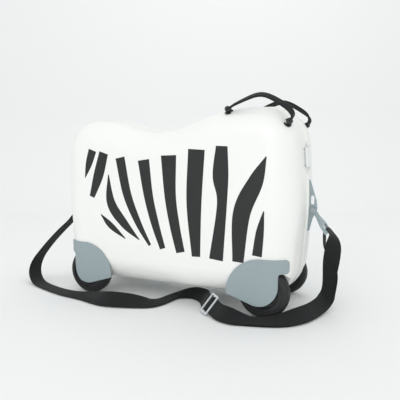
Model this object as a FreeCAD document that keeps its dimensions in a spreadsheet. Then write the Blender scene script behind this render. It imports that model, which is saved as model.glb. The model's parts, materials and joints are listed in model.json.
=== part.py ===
import FreeCAD, Part
import math
import os
from types import SimpleNamespace

from FreeCAD import Placement, Rotation, Vector

# A ride-on suitcase. It rolls along X with its head at +X, its seam lies in the plane y = 0 and the floor
# is at z = 0. The right half, at -Y, is modelled first and the left half mirrors it.
# Driving sizes, in millimetres and degrees.
SIZES = {
    # Case outline seen from the side: corner places and radii
    "bottom_height": 34, "bottom_taper": 12.5, "bottom_corner_radius": 60,
    "end_reach": 248.5, "end_height": 205, "end_radius": 600, "top_taper": 11.5,
    "head_height": 377.5, "head_length": 126, "head_radius": 278, "head_corner_radius": 66,
    "saddle_place": -32, "saddle_height": 325, "saddle_radius": 215,
    "hump_height": 360, "hump_length": 93.5, "hump_radius": 120, "hump_corner_radius": 60,
    # Case halves
    "half_thickness": 100, "side_radius": 50, "wall": 3, "seam_gap": 0.4,
    "flange_proud": 4, "flange_thickness": 5, "seal_inset": 1, "seal_width": 2, "seal_depth": 2,
    # Wheels, axles and corner covers
    "wheel_setback": 59.5, "wheel_radius": 47, "wheel_width": 26, "wheel_inset": 21, "tyre_bore": 35,
    "tread_radius": 9, "hub_width": 22, "hub_dish": 6, "hub_rim": 6, "hub_boss_radius": 13,
    "bush_radius": 6, "axle_radius": 4, "axle_head_radius": 7, "axle_head": 2,
    "washer_radius": 9, "washer_thickness": 1, "well_radius": 52, "well_depth": 38,
    "cover_thickness": 3, "cover_radius": 65, "cover_fall": 2, "cover_lobe_width": 28.8,
    "cover_lobe_bottom": 13, "cover_notch_height": 86, "cover_wrap_depth": 21, "cover_tip_height": 43.5,
    "cover_tip_radius": 3, "cover_lobe_radius": 35, "cover_notch_radius": 5, "cover_boss_radius": 8,
    "cover_screw_radius": 1.8, "cover_screw_head_radius": 3.6, "cover_screw_head": 2,
    "cover_screw_depth": 1.6, "cover_screw_low_angle": 135, "cover_screw_high_angle": 103,
    "cover_end_radius": 7,
    # Hinges under the seam
    "hinge_place": 80, "hinge_half_length": 30, "hinge_drop": 13, "hinge_barrel_radius": 4.5,
    "hinge_pin_radius": 2, "hinge_knuckle_half": 14, "hinge_foot_inner": 7, "hinge_foot_width": 19,
    "hinge_foot": 3.5, "hinge_arm_width": 8, "hinge_arm_drop": 5,
    # Latches on the ends
    "latch_gap": 18.2, "latch_half_length": 18, "latch_reach": 16, "latch_thickness": 2.2,
    "latch_lift": 2.4, "latch_lip": 2, "latch_lip_height": 3.4, "latch_pin_radius": 1.1,
    "latch_pin_place": 11, "latch_barrel_radius": 2.2, "latch_ear": 5, "latch_ear_width": 8,
    "latch_base": 1, "latch_base_width": 18, "latch_notch": 27, "keeper_place": 8.5,
    "keeper_width": 4, "keeper_height": 1.9, "keeper_half_length": 14,
    # Strap anchors and links
    "anchor_inset": 1.1, "anchor_corner_radius": 2, "anchor_nose": 2, "anchor_thickness": 5,
    "anchor_bottom": 150, "anchor_top": 246, "anchor_proud": 15, "anchor_notch_margin": 3,
    "anchor_slot_width": 7, "anchor_slot_length": 17, "anchor_slot_rise": 18, "anchor_screw_radius": 1,
    "anchor_screw_head_radius": 1.7, "anchor_screw_head": 0.9, "anchor_screw_depth": 3,
    "anchor_screw_spread": 40, "anchor_screw_lift": 7, "anchor_screw_inset": 1,
    "link_pivot_proud": 10, "link_pivot_height": 190, "link_lean": 34, "link_length": 46.5,
    "link_thickness": 5.5, "link_neck_half": 6.2, "link_foot_half": 20, "link_foot_start": 31,
    "link_boss_radius": 5.5, "link_corner_radius": 4, "link_bar_radius": 3.5, "link_slot_half": 16,
    "link_slot_length": 13, "link_fork_depth": 15, "link_pin_radius": 2.5, "link_pin_head_radius": 4,
    "link_pin_head": 1,
    # Carry handles
    "handle_rear_inset": 6, "handle_front_angle": 54, "handle_inset": 26, "handle_rise": 31,
    "handle_width": 12, "handle_thickness": 4.5, "handle_pivot_radius": 5.5, "handle_pivot_length": 5,
    "handle_lift": 6.5, "handle_cup_radius": 8, "handle_cup_height": 1.8,
    # Shoulder strap and slider
    "strap_width": 30, "strap_thickness": 1.5, "slider_length": 40, "slider_width": 22,
    "slider_thickness": 2, "slider_bar": 3.4, "slider_lay": 2.1, "slider_end": 9,
    # Clearances
    "press_fit": 0.02, "running_fit": 0.06, "clearance": 0.3, "overrun": 20,
}
# Bends of the handle: places between its ends and heights over them, as shares of its span and its rise
HANDLE_BEND_SHARES = [(0.21, 0.56), (0.44, 1.04), (0.6, 1.17), (0.87, 0.9), (1.03, 0.54), (1.05, 0.23)]
ARC_STEP_DEGREES = 12
RUN_SHARE = 0.45
ARC_ROOM_SHARE = 0.9
SAME_POINT = 1e-6

# The webbing's routes beyond the slider: each point is its middle, followed by the direction of its width
STRAP_FRONT_ROUTE = [
    ((118.9, -124.8, 14.9), (0.25, 0.53, 0.81)), ((133, -132.2, 15.3), (0.17, 0.52, 0.84)),
    ((147.5, -131.9, 13.5), (-0.04, 0.72, 0.69)), ((162.1, -124.7, 9), (-0.2, 0.91, 0.36)),
    ((178.5, -119.8, 5.4), (-0.24, 0.97, 0.1)), ((208.7, -111.7, 6.6), (-0.36, 0.91, 0.19)),
    ((231.8, -102.9, 10.1), (-0.52, 0.73, 0.44)), ((251.7, -87.6, 14.2), (-0.51, 0.43, 0.74)),
    ((265.2, -68.2, 15.2), (-0.5, 0.24, 0.83)), ((274.8, -40.6, 15.2), (-0.55, 0.12, 0.83)),
    ((283.9, -16, 19.3), (-0.62, 0.08, 0.78)), ((287.5, -0.2, 26.9), (-0.75, 0.42, 0.5)),
    ((289.7, 5.7, 40.3), (-0.84, 0.53, 0.12)), ((290, 6.5, 60), (-0.84, 0.54, 0)),
    ((287.6, 4, 82), (-0.68, 0.73, 0)), ((284, 2.8, 103), (-0.42, 0.91, 0)),
    ((281.2, 2.4, 124), (-0.12, 0.99, 0)), ((279.9, 2.3, 140), (0, 1, 0)),
    ((279.9, 2.3, 152.97), (0, 1, 0)), ((281.7, 2.3, 155.41), (0, 1, 0)),
    ((284.61, 2.3, 156.29), (0, 1, 0)), ((287.47, 2.3, 155.28), (0, 1, 0)),
    ((293.6, 2.3, 146.2), (0, 1, 0)), ((299.5, 2.4, 139), (-0.14, 0.99, 0)),
    ((304, 3, 124), (-0.4, 0.92, 0)), ((303, 4.5, 104), (-0.6, 0.8, 0)),
    ((298.5, 7.5, 83), (-0.74, 0.67, 0)), ((294.3, 10.5, 62), (-0.84, 0.54, 0)),
    ((291.3, 8.3, 39.7), (-0.84, 0.53, 0.12)), ((287.5, 2.2, 25.1), (-0.75, 0.42, 0.5)),
    ((282.1, -15, 17.7), (-0.62, 0.08, 0.78)), ((272.8, -40.2, 13.8), (-0.55, 0.12, 0.83)),
    ((263.4, -67.4, 13.8), (-0.5, 0.24, 0.83)), ((250.4, -86.5, 12.5), (-0.51, 0.43, 0.74)),
    ((231.2, -102, 8), (-0.52, 0.73, 0.44)), ((208.6, -111.3, 4.3), (-0.36, 0.91, 0.19)),
    ((178.4, -119.5, 3), (-0.24, 0.97, 0.1)), ((161.9, -123.8, 6.8), (-0.2, 0.91, 0.36)),
    ((147.4, -130.2, 11.8), (-0.04, 0.72, 0.69)), ((133.6, -130.3, 14), (0.17, 0.52, 0.84)),
    ((119.7, -123, 13.5), (0.25, 0.53, 0.81)),
]
STRAP_REAR_ROUTE = [
    ((72.7, -75, 14.5), (0.45, 0.34, 0.83)), ((63.5, -55.9, 13.6), (0.43, 0.48, 0.77)),
    ((49.9, -40.5, 12.1), (0.39, 0.63, 0.67)), ((24, -29.6, 10.5), (0, 0.83, 0.56)),
    ((-3.9, -38.8, 3.7), (-0.66, 0.75, 0.1)), ((-13.3, -58.5, 2.1), (-0.95, 0.3, 0)),
    ((-16.2, -79, 2.6), (-0.98, 0.2, 0.03)), ((-21.3, -101.8, 5.2), (-0.89, 0.41, 0.21)),
    ((-30.5, -115.7, 7.2), (-0.56, 0.75, 0.34)), ((-58.9, -131.3, 12.9), (-0.26, 0.65, 0.72)),
    ((-91.2, -146.5, 15.8), (-0.08, 0.4, 0.91)), ((-114, -146.7, 14.2), (0, 0.59, 0.81)),
    ((-139.2, -138.5, 10.7), (0.19, 0.8, 0.57)), ((-169.1, -128, 6.7), (0.19, 0.93, 0.31)),
    ((-198.2, -123.8, 4.4), (0.12, 0.98, 0.16)), ((-224.7, -120.9, 3.4), (0.22, 0.97, 0.09)),
    ((-257.8, -111.9, 2.4), (0.35, 0.94, 0.02)), ((-297, -100, 2.4), (0.33, 0.94, 0)),
    ((-332, -87, 4), (0.25, 0.97, 0)), ((-357, -72, 20), (0.16, 0.99, 0.05)),
    ((-361, -57, 46), (0.1, 0.99, 0.12)), ((-346, -38, 78), (0.06, 0.99, 0.1)),
    ((-326, -15, 110), (0, 1, 0)), ((-308.2, 2.3, 132.4), (0, 1, 0)),
    ((-286.73, 2.3, 155.83), (0, 1, 0)), ((-283.31, 2.3, 156.22), (0, 1, 0)),
    ((-280.48, 2.3, 154.27), (0, 1, 0)), ((-279.62, 2.3, 150.94), (0, 1, 0)),
    ((-281.15, 2.3, 147.86), (0, 1, 0)), ((-292.2, 2.3, 143.3), (0, 1, 0)),
    ((-299.3, 2.3, 138.8), (0, 1, 0)), ((-305.4, 2.3, 132.1), (0, 1, 0)),
]
SLIDER_PLACE = (93, -104.2, 19.5)
SLIDER_ACROSS = (0.48, 0.42, 0.77)
SLIDER_ALONG = (0.81, -0.56, 0)

doc = FreeCAD.newDocument("RideOnCase")
sheet = doc.addObject("Spreadsheet::Sheet", "Sizes")
for row, (alias, value) in enumerate(SIZES.items(), start=1):
    sheet.set(f"A{row}", alias)
    sheet.set(f"B{row}", str(value))
    sheet.setAlias(f"B{row}", alias)
doc.recompute()


class Size:
    """A size together with its expression in the sheet, so that sums of sizes stay bound to the sheet."""

    def __init__(self, value, text):
        self.value = float(value)
        self.text = text

    def __add__(self, other):
        other = as_size(other)
        return Size(self.value + other.value, f"({self.text} + {other.text})")

    def __sub__(self, other):
        other = as_size(other)
        return Size(self.value - other.value, f"({self.text} - {other.text})")

    def __mul__(self, share):
        return Size(self.value * share, f"({self.text} * {share})")

    def __truediv__(self, count):
        return Size(self.value / count, f"({self.text} / {count})")

    def __neg__(self):
        return Size(-self.value, f"(0 - {self.text})")

    def __float__(self):
        return self.value


def as_size(number):
    return number if isinstance(number, Size) else Size(number, f"{number}")


S = SimpleNamespace(**{alias: Size(sheet.get(alias), f"Sizes.{alias}") for alias in SIZES})
ORIGIN = as_size(0)


def bind(item, **properties):
    """Bind properties of a document object to the sheet."""
    for name, size in properties.items():
        item.setExpression(name, as_size(size).text)


def place(item, x, y, z, rotation=None):
    """Put an object at a place that stays bound to the sheet."""
    spot = [as_size(x), as_size(y), as_size(z)]
    item.Placement = Placement(Vector(*[size.value for size in spot]), rotation or Rotation())
    for letter, size in zip("xyz", spot):
        item.setExpression(f"Placement.Base.{letter}", size.text)
    return item


def block(name, low, extent):
    """A box from its lowest corner and its three extents."""
    box = doc.addObject("Part::Box", name)
    bind(box, Length=extent[0], Width=extent[1], Height=extent[2])
    return place(box, *low)


TURNS = {
    "X": Rotation(Vector(0, 1, 0), 90),
    "Y": Rotation(Vector(1, 0, 0), -90),
    "Z": Rotation(),
}


def rod(name, start, axis, radius, length):
    """A cylinder that runs from its start along +X, +Y or +Z."""
    cylinder = doc.addObject("Part::Cylinder", name)
    bind(cylinder, Radius=radius, Height=length)
    return place(cylinder, *start, TURNS[axis])


def ball(name, middle, radius):
    sphere = doc.addObject("Part::Sphere", name)
    bind(sphere, Radius=radius)
    return place(sphere, *middle)


def cut(name, base, tool):
    item = doc.addObject("Part::Cut", name)
    item.Base = base
    item.Tool = tool
    return item


def fuse(name, *parts):
    item = doc.addObject("Part::MultiFuse", name)
    item.Shapes = list(parts)
    item.Refine = True
    return item


def common(name, *parts):
    item = doc.addObject("Part::MultiCommon", name)
    item.Shapes = list(parts)
    return item


def group(name, *parts):
    """Identical fasteners that share a node."""
    item = doc.addObject("Part::Compound", name)
    item.Links = list(parts)
    return item


def mirrored(name, source, normal):
    item = doc.addObject("Part::Mirroring", name)
    item.Source = source
    item.Base = Vector()
    item.Normal = normal
    return item


ACROSS_SEAM = Vector(0, 1, 0)
END_TO_END = Vector(1, 0, 0)


def other_end(source):
    """The same piece at the rear, mirrored from the front."""
    return mirrored(source.Name.replace("front", "rear"), source, END_TO_END)


def other_side(source):
    """The same piece on the left half, mirrored from the right."""
    return mirrored(source.Name.replace("right", "left"), source, ACROSS_SEAM)


def at_every_corner(source):
    """The four copies of a corner piece, from the one at the right front."""
    rear = other_end(source)
    return [source, rear, other_side(source), other_side(rear)]


def rounded(corners, grow=0.0):
    """Lines and tangent arcs of a counterclockwise outline of (x, y, radius) corners, grown outwards."""
    places = [Vector(float(x), float(y), 0) for x, y, _ in corners]
    count = len(places)
    ways = [(places[(i + 1) % count] - places[i]).normalize() for i in range(count)]
    outward = [Vector(way.y, -way.x, 0) for way in ways]
    starts, ends = [], []
    for i in range(count):
        before, after = ways[i - 1], ways[i]
        turn = math.atan2(before.cross(after).z, before.dot(after))
        moved = places[i] + (outward[i - 1] + outward[i]) * (grow / (1 + outward[i - 1].dot(outward[i])))
        radius = float(corners[i][2])
        radius = radius + math.copysign(grow, turn) if radius else 0.0
        reach = radius * math.tan(abs(turn) / 2)
        starts.append(moved - before * reach)
        ends.append((moved, moved + after * reach, radius))
    pieces = []
    for i in range(count):
        vertex, leave, radius = ends[i]
        if radius:
            inward = (starts[i] + leave) * 0.5 - vertex
            depth = math.hypot(radius, (leave - vertex).Length) - radius
            pieces.append(Part.Arc(starts[i], vertex + inward.normalize() * depth, leave))
        arrive = starts[(i + 1) % count]
        if not arrive.isEqual(leave, SAME_POINT):
            pieces.append(Part.LineSegment(leave, arrive))
    return pieces


def fitted(corners):
    """The same corners, each radius limited so that neighbouring arcs fit on the run between them."""
    places = [Vector(float(x), float(y), 0) for x, y, _ in corners]
    count = len(places)
    runs = [places[(i + 1) % count] - places[i] for i in range(count)]
    reaches = [float(corners[i][2]) * math.tan(runs[i - 1].getAngle(runs[i]) / 2) for i in range(count)]
    room_shares = []
    for i in range(count):
        needed = reaches[i] + reaches[(i + 1) % count]
        room_shares.append(min(1, ARC_ROOM_SHARE * runs[i].Length / needed))
    limit_shares = [min(room_shares[i - 1], room_shares[i]) for i in range(count)]
    return [(x, y, radius * share) for (x, y, radius), share in zip(corners, limit_shares)]


def origin_plane(body, role):
    return next(plane for plane in body.Origin.OriginFeatures if plane.Role == role)


def padded(name, role, geometry, length, lift=ORIGIN, midplane=False):
    """A body padded from an outline on one of its origin planes, lifted off that plane."""
    body = doc.addObject("PartDesign::Body", name)
    sketch = body.newObject("Sketcher::SketchObject", f"{name}_outline")
    sketch.AttachmentSupport = (origin_plane(body, role), [""])
    sketch.MapMode = "FlatFace"
    sketch.setExpression("AttachmentOffset.Base.z", lift.text)
    sketch.addGeometry(geometry)
    pad = body.newObject("PartDesign::Pad", f"{name}_pad")
    pad.Profile = sketch
    pad.Midplane = midplane
    bind(pad, Length=length)
    doc.recompute()
    return body


def edges_at(shape, test):
    """Names of the edges whose two ends both pass a test."""
    found = []
    for index, edge in enumerate(shape.Edges, start=1):
        if all(test(vertex.Point) for vertex in edge.Vertexes):
            found.append(f"Edge{index}")
    return found


def fillet(body, test, radius):
    """Round the edges of a body's last feature that pass a test."""
    base = body.Tip
    feature = body.newObject("PartDesign::Fillet", f"{body.Name}_fillet_{len(body.Group)}")
    feature.Base = (base, edges_at(base.Shape, test))
    bind(feature, Radius=radius)
    doc.recompute()
    return body


def revolved(name, corners):
    """A body turned about its Y axis from an outline of (radius, y, corner radius) corners."""
    body = doc.addObject("PartDesign::Body", name)
    sketch = body.newObject("Sketcher::SketchObject", f"{name}_outline")
    sketch.AttachmentSupport = (origin_plane(body, "XY_Plane"), [""])
    sketch.MapMode = "FlatFace"
    sketch.addGeometry(rounded(corners))
    turn = body.newObject("PartDesign::Revolution", f"{name}_turn")
    turn.Profile = sketch
    turn.ReferenceAxis = (sketch, ["V_Axis"])
    doc.recompute()
    return body


# Case halves
bottom_reach = S.end_reach - S.bottom_taper
top_reach = S.end_reach - S.top_taper
head_start = top_reach - S.head_length
hump_start = S.hump_length - S.end_reach
wheel_place = S.end_reach - S.wheel_setback
end_lean_share = (S.end_reach - top_reach).value / (S.head_height - S.end_height).value
hump_reach = S.end_reach - (S.hump_height - S.end_height) * end_lean_share
CASE_OUTLINE = fitted([
    (bottom_reach, S.bottom_height, S.bottom_corner_radius),
    (S.end_reach, S.end_height, S.end_radius),
    (top_reach, S.head_height, S.head_corner_radius),
    (head_start, S.head_height, S.head_radius),
    (S.saddle_place, S.saddle_height, S.saddle_radius),
    (hump_start, S.hump_height, S.hump_radius),
    (-hump_reach, S.hump_height, S.hump_corner_radius),
    (-S.end_reach, S.end_height, S.end_radius),
    (-bottom_reach, S.bottom_height, S.bottom_corner_radius),
])
_, _, head_corner_radius = CASE_OUTLINE[2]
_, _, head_radius = CASE_OUTLINE[3]
half_gap = S.seam_gap / 2
wheel_middle = S.half_thickness - S.wheel_inset
well_inner = S.half_thickness - S.well_depth
latch_height = S.anchor_top + S.latch_gap + S.latch_half_length + S.clearance + S.latch_ear


def half_solid(name, grow, depth, radius):
    """One filled half of the case, rounded round its side."""
    body = padded(name, "XZ_Plane", rounded(CASE_OUTLINE, grow), depth - half_gap, half_gap)
    return fillet(body, lambda point: abs(point.y + depth.value) < half_gap.value, radius)


right_block = half_solid("right_block", 0.0, S.half_thickness, S.side_radius)
right_core = half_solid("right_core", -S.wall.value, S.half_thickness - S.wall, S.side_radius - S.wall)
core_mouth = padded(
    "core_mouth", "XZ_Plane", rounded(CASE_OUTLINE, -S.wall.value), S.overrun, half_gap - S.overrun / 2
)
flange_plate = padded(
    "flange_plate", "XZ_Plane", rounded(CASE_OUTLINE, S.flange_proud.value), S.flange_thickness, half_gap
)
seal_outer_grow = S.flange_proud - S.seal_inset
seal_inner_grow = seal_outer_grow - S.seal_width
seal_outer = padded(
    "seal_outer", "XZ_Plane", rounded(CASE_OUTLINE, seal_outer_grow.value), S.seal_depth, half_gap
)
seal_inner = padded(
    "seal_inner", "XZ_Plane", rounded(CASE_OUTLINE, seal_inner_grow.value), S.seal_depth, half_gap
)


def surface_reach(height):
    """Where the end of the case lies at a height on its upper straight run."""
    return S.end_reach - (height - S.end_height) * end_lean_share


def end_notch(name, middle, half_length):
    """A box that takes the flange away on one end."""
    low = (surface_reach(middle) - S.overrun, -S.overrun, middle - half_length)
    return block(name, low, (S.overrun * 2, S.overrun * 2, half_length * 2))


front_latch_notch = end_notch("front_latch_notch", latch_height, S.latch_notch)
latch_notches = fuse("latch_notches", front_latch_notch, other_end(front_latch_notch))
anchor_middle = (S.anchor_bottom + S.anchor_top) / 2
anchor_half = (S.anchor_top - S.anchor_bottom) / 2 + S.anchor_notch_margin
front_anchor_notch = end_notch("front_anchor_notch", anchor_middle, anchor_half)
anchor_notches = fuse("anchor_notches", front_anchor_notch, other_end(front_anchor_notch))

wheel_centre = (wheel_place, -wheel_middle, S.wheel_radius)


def well(name, radius, inner):
    """The round recess over a front wheel, from its inner wall outwards."""
    return rod(name, (wheel_place, -(S.half_thickness + S.overrun), S.wheel_radius), "Y", radius,
               S.half_thickness + S.overrun - inner)


front_well = well("front_well", S.well_radius, well_inner)
front_well_skin = well("front_well_skin", S.well_radius + S.wall, well_inner - S.wall)
wells = fuse("wells", front_well, other_end(front_well))
well_skins = fuse("well_skins", front_well_skin, other_end(front_well_skin))
front_axle_hole = rod(
    "front_axle_hole", (wheel_place, -(well_inner + S.overrun / 2), S.wheel_radius), "Y",
    S.axle_radius + S.press_fit, S.overrun,
)


cover_screw_ring = S.well_radius + S.wall + S.cover_screw_head_radius + S.clearance


def cover_screw_spot(angle):
    """Where a screw holds the front corner cover, on a ring round the wheel."""
    turn = math.radians(angle.value)
    across, up = cover_screw_ring * math.cos(turn), cover_screw_ring * math.sin(turn)
    return wheel_place + across, S.wheel_radius + up


cover_screw_spots = [cover_screw_spot(S.cover_screw_low_angle), cover_screw_spot(S.cover_screw_high_angle)]
cover_inner_face = S.half_thickness
front_screw_holes = [
    rod(f"front_cover_hole_{number}", (x, -(cover_inner_face + S.cover_screw_depth), z), "Y",
        S.cover_screw_radius + S.press_fit, S.overrun)
    for number, (x, z) in enumerate(cover_screw_spots, start=1)
]
front_holes = fuse("front_holes", front_axle_hole, *front_screw_holes)
case_holes = fuse("case_holes", front_holes, other_end(front_holes))
right_cavity = cut("right_cavity", fuse("right_inside", right_core, core_mouth), well_skins)
right_hollow = fuse("right_hollow", right_cavity, wells, case_holes)
seal_ring = cut("seal_ring", seal_outer, seal_inner)
rim_seal_plain = cut("rim_seal_plain", seal_ring, latch_notches)

right_outer = fuse("right_outer", right_block, cut("right_flange", flange_plate, latch_notches))
right_shell_plain = cut("right_shell_plain", cut("right_body", right_outer, right_hollow), rim_seal_plain)
left_flange = cut(
    "left_flange", mirrored("left_flange_plate", flange_plate, ACROSS_SEAM),
    fuse("left_notches", latch_notches, anchor_notches),
)
left_outer = fuse("left_outer", mirrored("left_block", right_block, ACROSS_SEAM), left_flange)
left_shell = cut("left_shell", left_outer, mirrored("left_hollow", right_hollow, ACROSS_SEAM))

# Corner covers
cover_fillet = S.side_radius + S.clearance / 2
lower_lean_share = (S.end_reach - bottom_reach).value / (S.end_height - S.bottom_height).value
cover_top = S.wheel_radius + S.cover_radius
cover_end_place = bottom_reach + (cover_top - S.cover_fall - S.bottom_height) * lower_lean_share
cover_turn_place = cover_end_place - S.side_radius
cover_front_face = cover_inner_face + S.clearance / 2
cover_start = wheel_place - S.cover_radius - S.cover_thickness


def cover_band():
    """The plan of a corner cover: a plate along the side that bends round the corner of the case."""
    cover_wrap = S.half_thickness - S.cover_wrap_depth
    middle = Vector(cover_turn_place.value, -(S.half_thickness - S.side_radius).value, 0)
    wrap = math.asin((cover_wrap - S.half_thickness + S.side_radius).value / cover_fillet.value)
    start_x = (cover_start - S.overrun).value

    def bend(radius, angle):
        return middle + Vector(math.cos(angle), -math.sin(angle), 0) * radius

    square = math.pi / 2
    inner, outer = cover_fillet.value, (cover_fillet + S.cover_thickness).value
    half_way = (square + wrap) / 2
    inner_start = Vector(start_x, bend(inner, square).y, 0)
    outer_start = Vector(start_x, bend(outer, square).y, 0)
    return [
        Part.LineSegment(outer_start, bend(outer, square)),
        Part.Arc(bend(outer, square), bend(outer, half_way), bend(outer, wrap)),
        Part.LineSegment(bend(outer, wrap), bend(inner, wrap)),
        Part.Arc(bend(inner, wrap), bend(inner, half_way), bend(inner, square)),
        Part.LineSegment(bend(inner, square), inner_start),
        Part.LineSegment(inner_start, outer_start),
    ]


def rounded_end(name, item, radius):
    """A plate with the corners of its end rounded, where it stops on the end of the case."""
    doc.recompute()
    edges = item.Shape.Edges
    reach = max(edge.CenterOfMass.x for edge in edges)
    short = [
        index for index, edge in enumerate(edges, start=1)
        if abs(edge.Length - S.cover_thickness.value) < S.clearance.value
        and reach - edge.CenterOfMass.x < S.cover_thickness.value
        and abs(edge.tangentAt(edge.FirstParameter).z) < S.clearance.value
    ]
    end = doc.addObject("Part::Fillet", name)
    end.Base = item
    end.Edges = [(index, radius.value, radius.value) for index in short]
    doc.recompute()
    return end


cover_left = wheel_place - S.cover_radius
cover_right = S.end_reach + S.overrun
lobe_right = wheel_place + S.cover_lobe_width
COVER_OUTLINE = [
    (cover_left, S.cover_tip_height, S.cover_tip_radius),
    (lobe_right, S.cover_lobe_bottom, S.cover_lobe_radius),
    (lobe_right, S.cover_notch_height, S.cover_notch_radius),
    (cover_right, S.cover_notch_height, ORIGIN),
    (cover_right, cover_top - S.cover_fall, ORIGIN),
    (cover_left, cover_top, S.cover_radius),
]
cover_plan = padded("cover_plan", "XY_Plane", cover_band(), cover_top + S.overrun)
cover_side = padded("cover_side", "XZ_Plane", rounded(COVER_OUTLINE), S.half_thickness + S.overrun)
cover_plate = rounded_end("cover_plate", common("cover_sheet", cover_plan, cover_side), S.cover_end_radius)
half_bush = wheel_middle - well_inner - S.washer_thickness - S.clearance
outer_washer_face = wheel_middle + half_bush + S.clearance + S.washer_thickness
cover_boss = rod(
    "cover_boss", (wheel_place, -cover_front_face - S.cover_thickness / 2, S.wheel_radius), "Y",
    S.cover_boss_radius, cover_front_face + S.cover_thickness / 2 - outer_washer_face,
)
cover_bore = rod(
    "cover_bore", (wheel_place, -cover_front_face, S.wheel_radius), "Y",
    S.axle_radius + S.press_fit, S.overrun,
)
cover_threads = [
    rod(f"cover_thread_{number}", (x, -(cover_inner_face + S.cover_screw_depth), z), "Y",
        S.cover_screw_radius + S.press_fit, S.overrun)
    for number, (x, z) in enumerate(cover_screw_spots, start=1)
]
right_front_cover = cut(
    "right_front_cover", fuse("cover_body", cover_plate, cover_boss),
    fuse("cover_cuts", cover_bore, *cover_threads),
)
covers = at_every_corner(right_front_cover)

# Wheels: tyre, hub, bush, axle and washers
half_width = S.wheel_width / 2
half_hub = S.hub_width / 2


def at_wheel(name, corners):
    """A turned piece at the right front wheel."""
    return place(revolved(name, corners), *wheel_centre)


right_front_tyre = at_wheel("right_front_tyre", [
    (S.tyre_bore, -half_width, ORIGIN), (S.wheel_radius, -half_width, S.tread_radius),
    (S.wheel_radius, half_width, S.tread_radius), (S.tyre_bore, half_width, ORIGIN),
])
dish_radius = S.tyre_bore - S.hub_rim
right_front_hub = at_wheel("right_front_hub", [
    (S.bush_radius, -half_hub, ORIGIN), (S.hub_boss_radius, -half_hub, ORIGIN),
    (S.hub_boss_radius + S.press_fit, -half_hub + S.hub_dish, ORIGIN),
    (dish_radius, -half_hub + S.hub_dish, ORIGIN), (dish_radius + S.press_fit, -half_hub, ORIGIN),
    (S.tyre_bore, -half_hub, ORIGIN), (S.tyre_bore, half_hub, ORIGIN), (S.bush_radius, half_hub, ORIGIN),
])
bush_bore = S.axle_radius + S.running_fit
right_front_bush = at_wheel("right_front_bush", [
    (bush_bore, -half_bush, ORIGIN), (S.bush_radius, -half_bush, ORIGIN),
    (S.bush_radius, half_bush, ORIGIN), (bush_bore, half_bush, ORIGIN),
])
wheels = [
    piece
    for source in (right_front_tyre, right_front_hub, right_front_bush)
    for piece in at_every_corner(source)
]
axle_inner = well_inner - S.wall
axle_length = cover_front_face - axle_inner
right_front_axle = fuse(
    "right_front_axle",
    rod("axle_pin", (wheel_place, -cover_front_face, S.wheel_radius), "Y", S.axle_radius, axle_length),
    rod("axle_head_disc", (wheel_place, -axle_inner, S.wheel_radius), "Y", S.axle_head_radius, S.axle_head),
)
axles = at_every_corner(right_front_axle)


def washer(name, inner_face):
    """A thrust washer at the right front axle."""
    spot = (wheel_place, -inner_face, S.wheel_radius)
    disc = rod(f"{name}_disc", spot, "Y", S.washer_radius, S.washer_thickness)
    hole = rod(f"{name}_hole", spot, "Y", S.axle_radius + S.press_fit, S.washer_thickness)
    return cut(name, disc, hole)


washer_faces = [well_inner + S.washer_thickness, outer_washer_face]
front_washers = group("front_washers", *[
    washer(f"front_washer_{number}", face) for number, face in enumerate(washer_faces, start=1)
])
right_wheel_washers = group("right_wheel_washers", front_washers, other_end(front_washers))
washers = [right_wheel_washers, other_side(right_wheel_washers)]


def cover_screw(number, spot):
    """A screw from inside the case into a corner cover."""
    x, z = spot
    tip = -(cover_inner_face + S.cover_screw_depth)
    seat = S.half_thickness - S.wall
    shank = rod(f"cover_shank_{number}", (x, tip, z), "Y", S.cover_screw_radius, S.cover_screw_depth + S.wall)
    head = rod(f"cover_head_{number}", (x, -seat, z), "Y", S.cover_screw_head_radius, S.cover_screw_head)
    return fuse(f"front_cover_screw_{number}", shank, head)


front_cover_screws = group("front_cover_screws", *[
    cover_screw(number, spot) for number, spot in enumerate(cover_screw_spots, start=1)
])
right_cover_screws = group("right_cover_screws", front_cover_screws, other_end(front_cover_screws))
cover_screws = [right_cover_screws, other_side(right_cover_screws)]

# Hinges
hinge_axis_height = S.bottom_height - S.hinge_drop
foot_bottom = S.bottom_height - S.hinge_foot
hinge_start = S.hinge_place - S.hinge_half_length
ARM_OUTLINE = [
    (ORIGIN, hinge_axis_height - S.hinge_barrel_radius, ORIGIN),
    (S.hinge_foot_inner + S.hinge_arm_width, foot_bottom - S.hinge_arm_drop, ORIGIN),
    (S.hinge_foot_inner + S.hinge_arm_width, foot_bottom + S.hinge_foot / 2, ORIGIN),
    (S.hinge_foot_inner, foot_bottom + S.hinge_foot / 2, ORIGIN),
    (S.hinge_foot_inner, foot_bottom, ORIGIN),
    (ORIGIN, hinge_axis_height + S.hinge_barrel_radius, ORIGIN),
]


def knuckle(name, start, length, bore):
    """A hinge knuckle on the left side of the seam, along X from its start."""
    arm = padded(f"{name}_arm", "YZ_Plane", rounded(ARM_OUTLINE), length, start)
    barrel = rod(f"{name}_barrel", (start, ORIGIN, hinge_axis_height), "X", S.hinge_barrel_radius, length)
    hole = rod(
        f"{name}_bore", (start - S.overrun, ORIGIN, hinge_axis_height), "X", bore, length + S.overrun * 2
    )
    return cut(name, fuse(f"{name}_solid", arm, barrel), hole)


def hinge_foot(name):
    low = (hinge_start, S.hinge_foot_inner, foot_bottom)
    return block(name, low, (S.hinge_half_length * 2, S.hinge_foot_width, S.hinge_foot))


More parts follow.
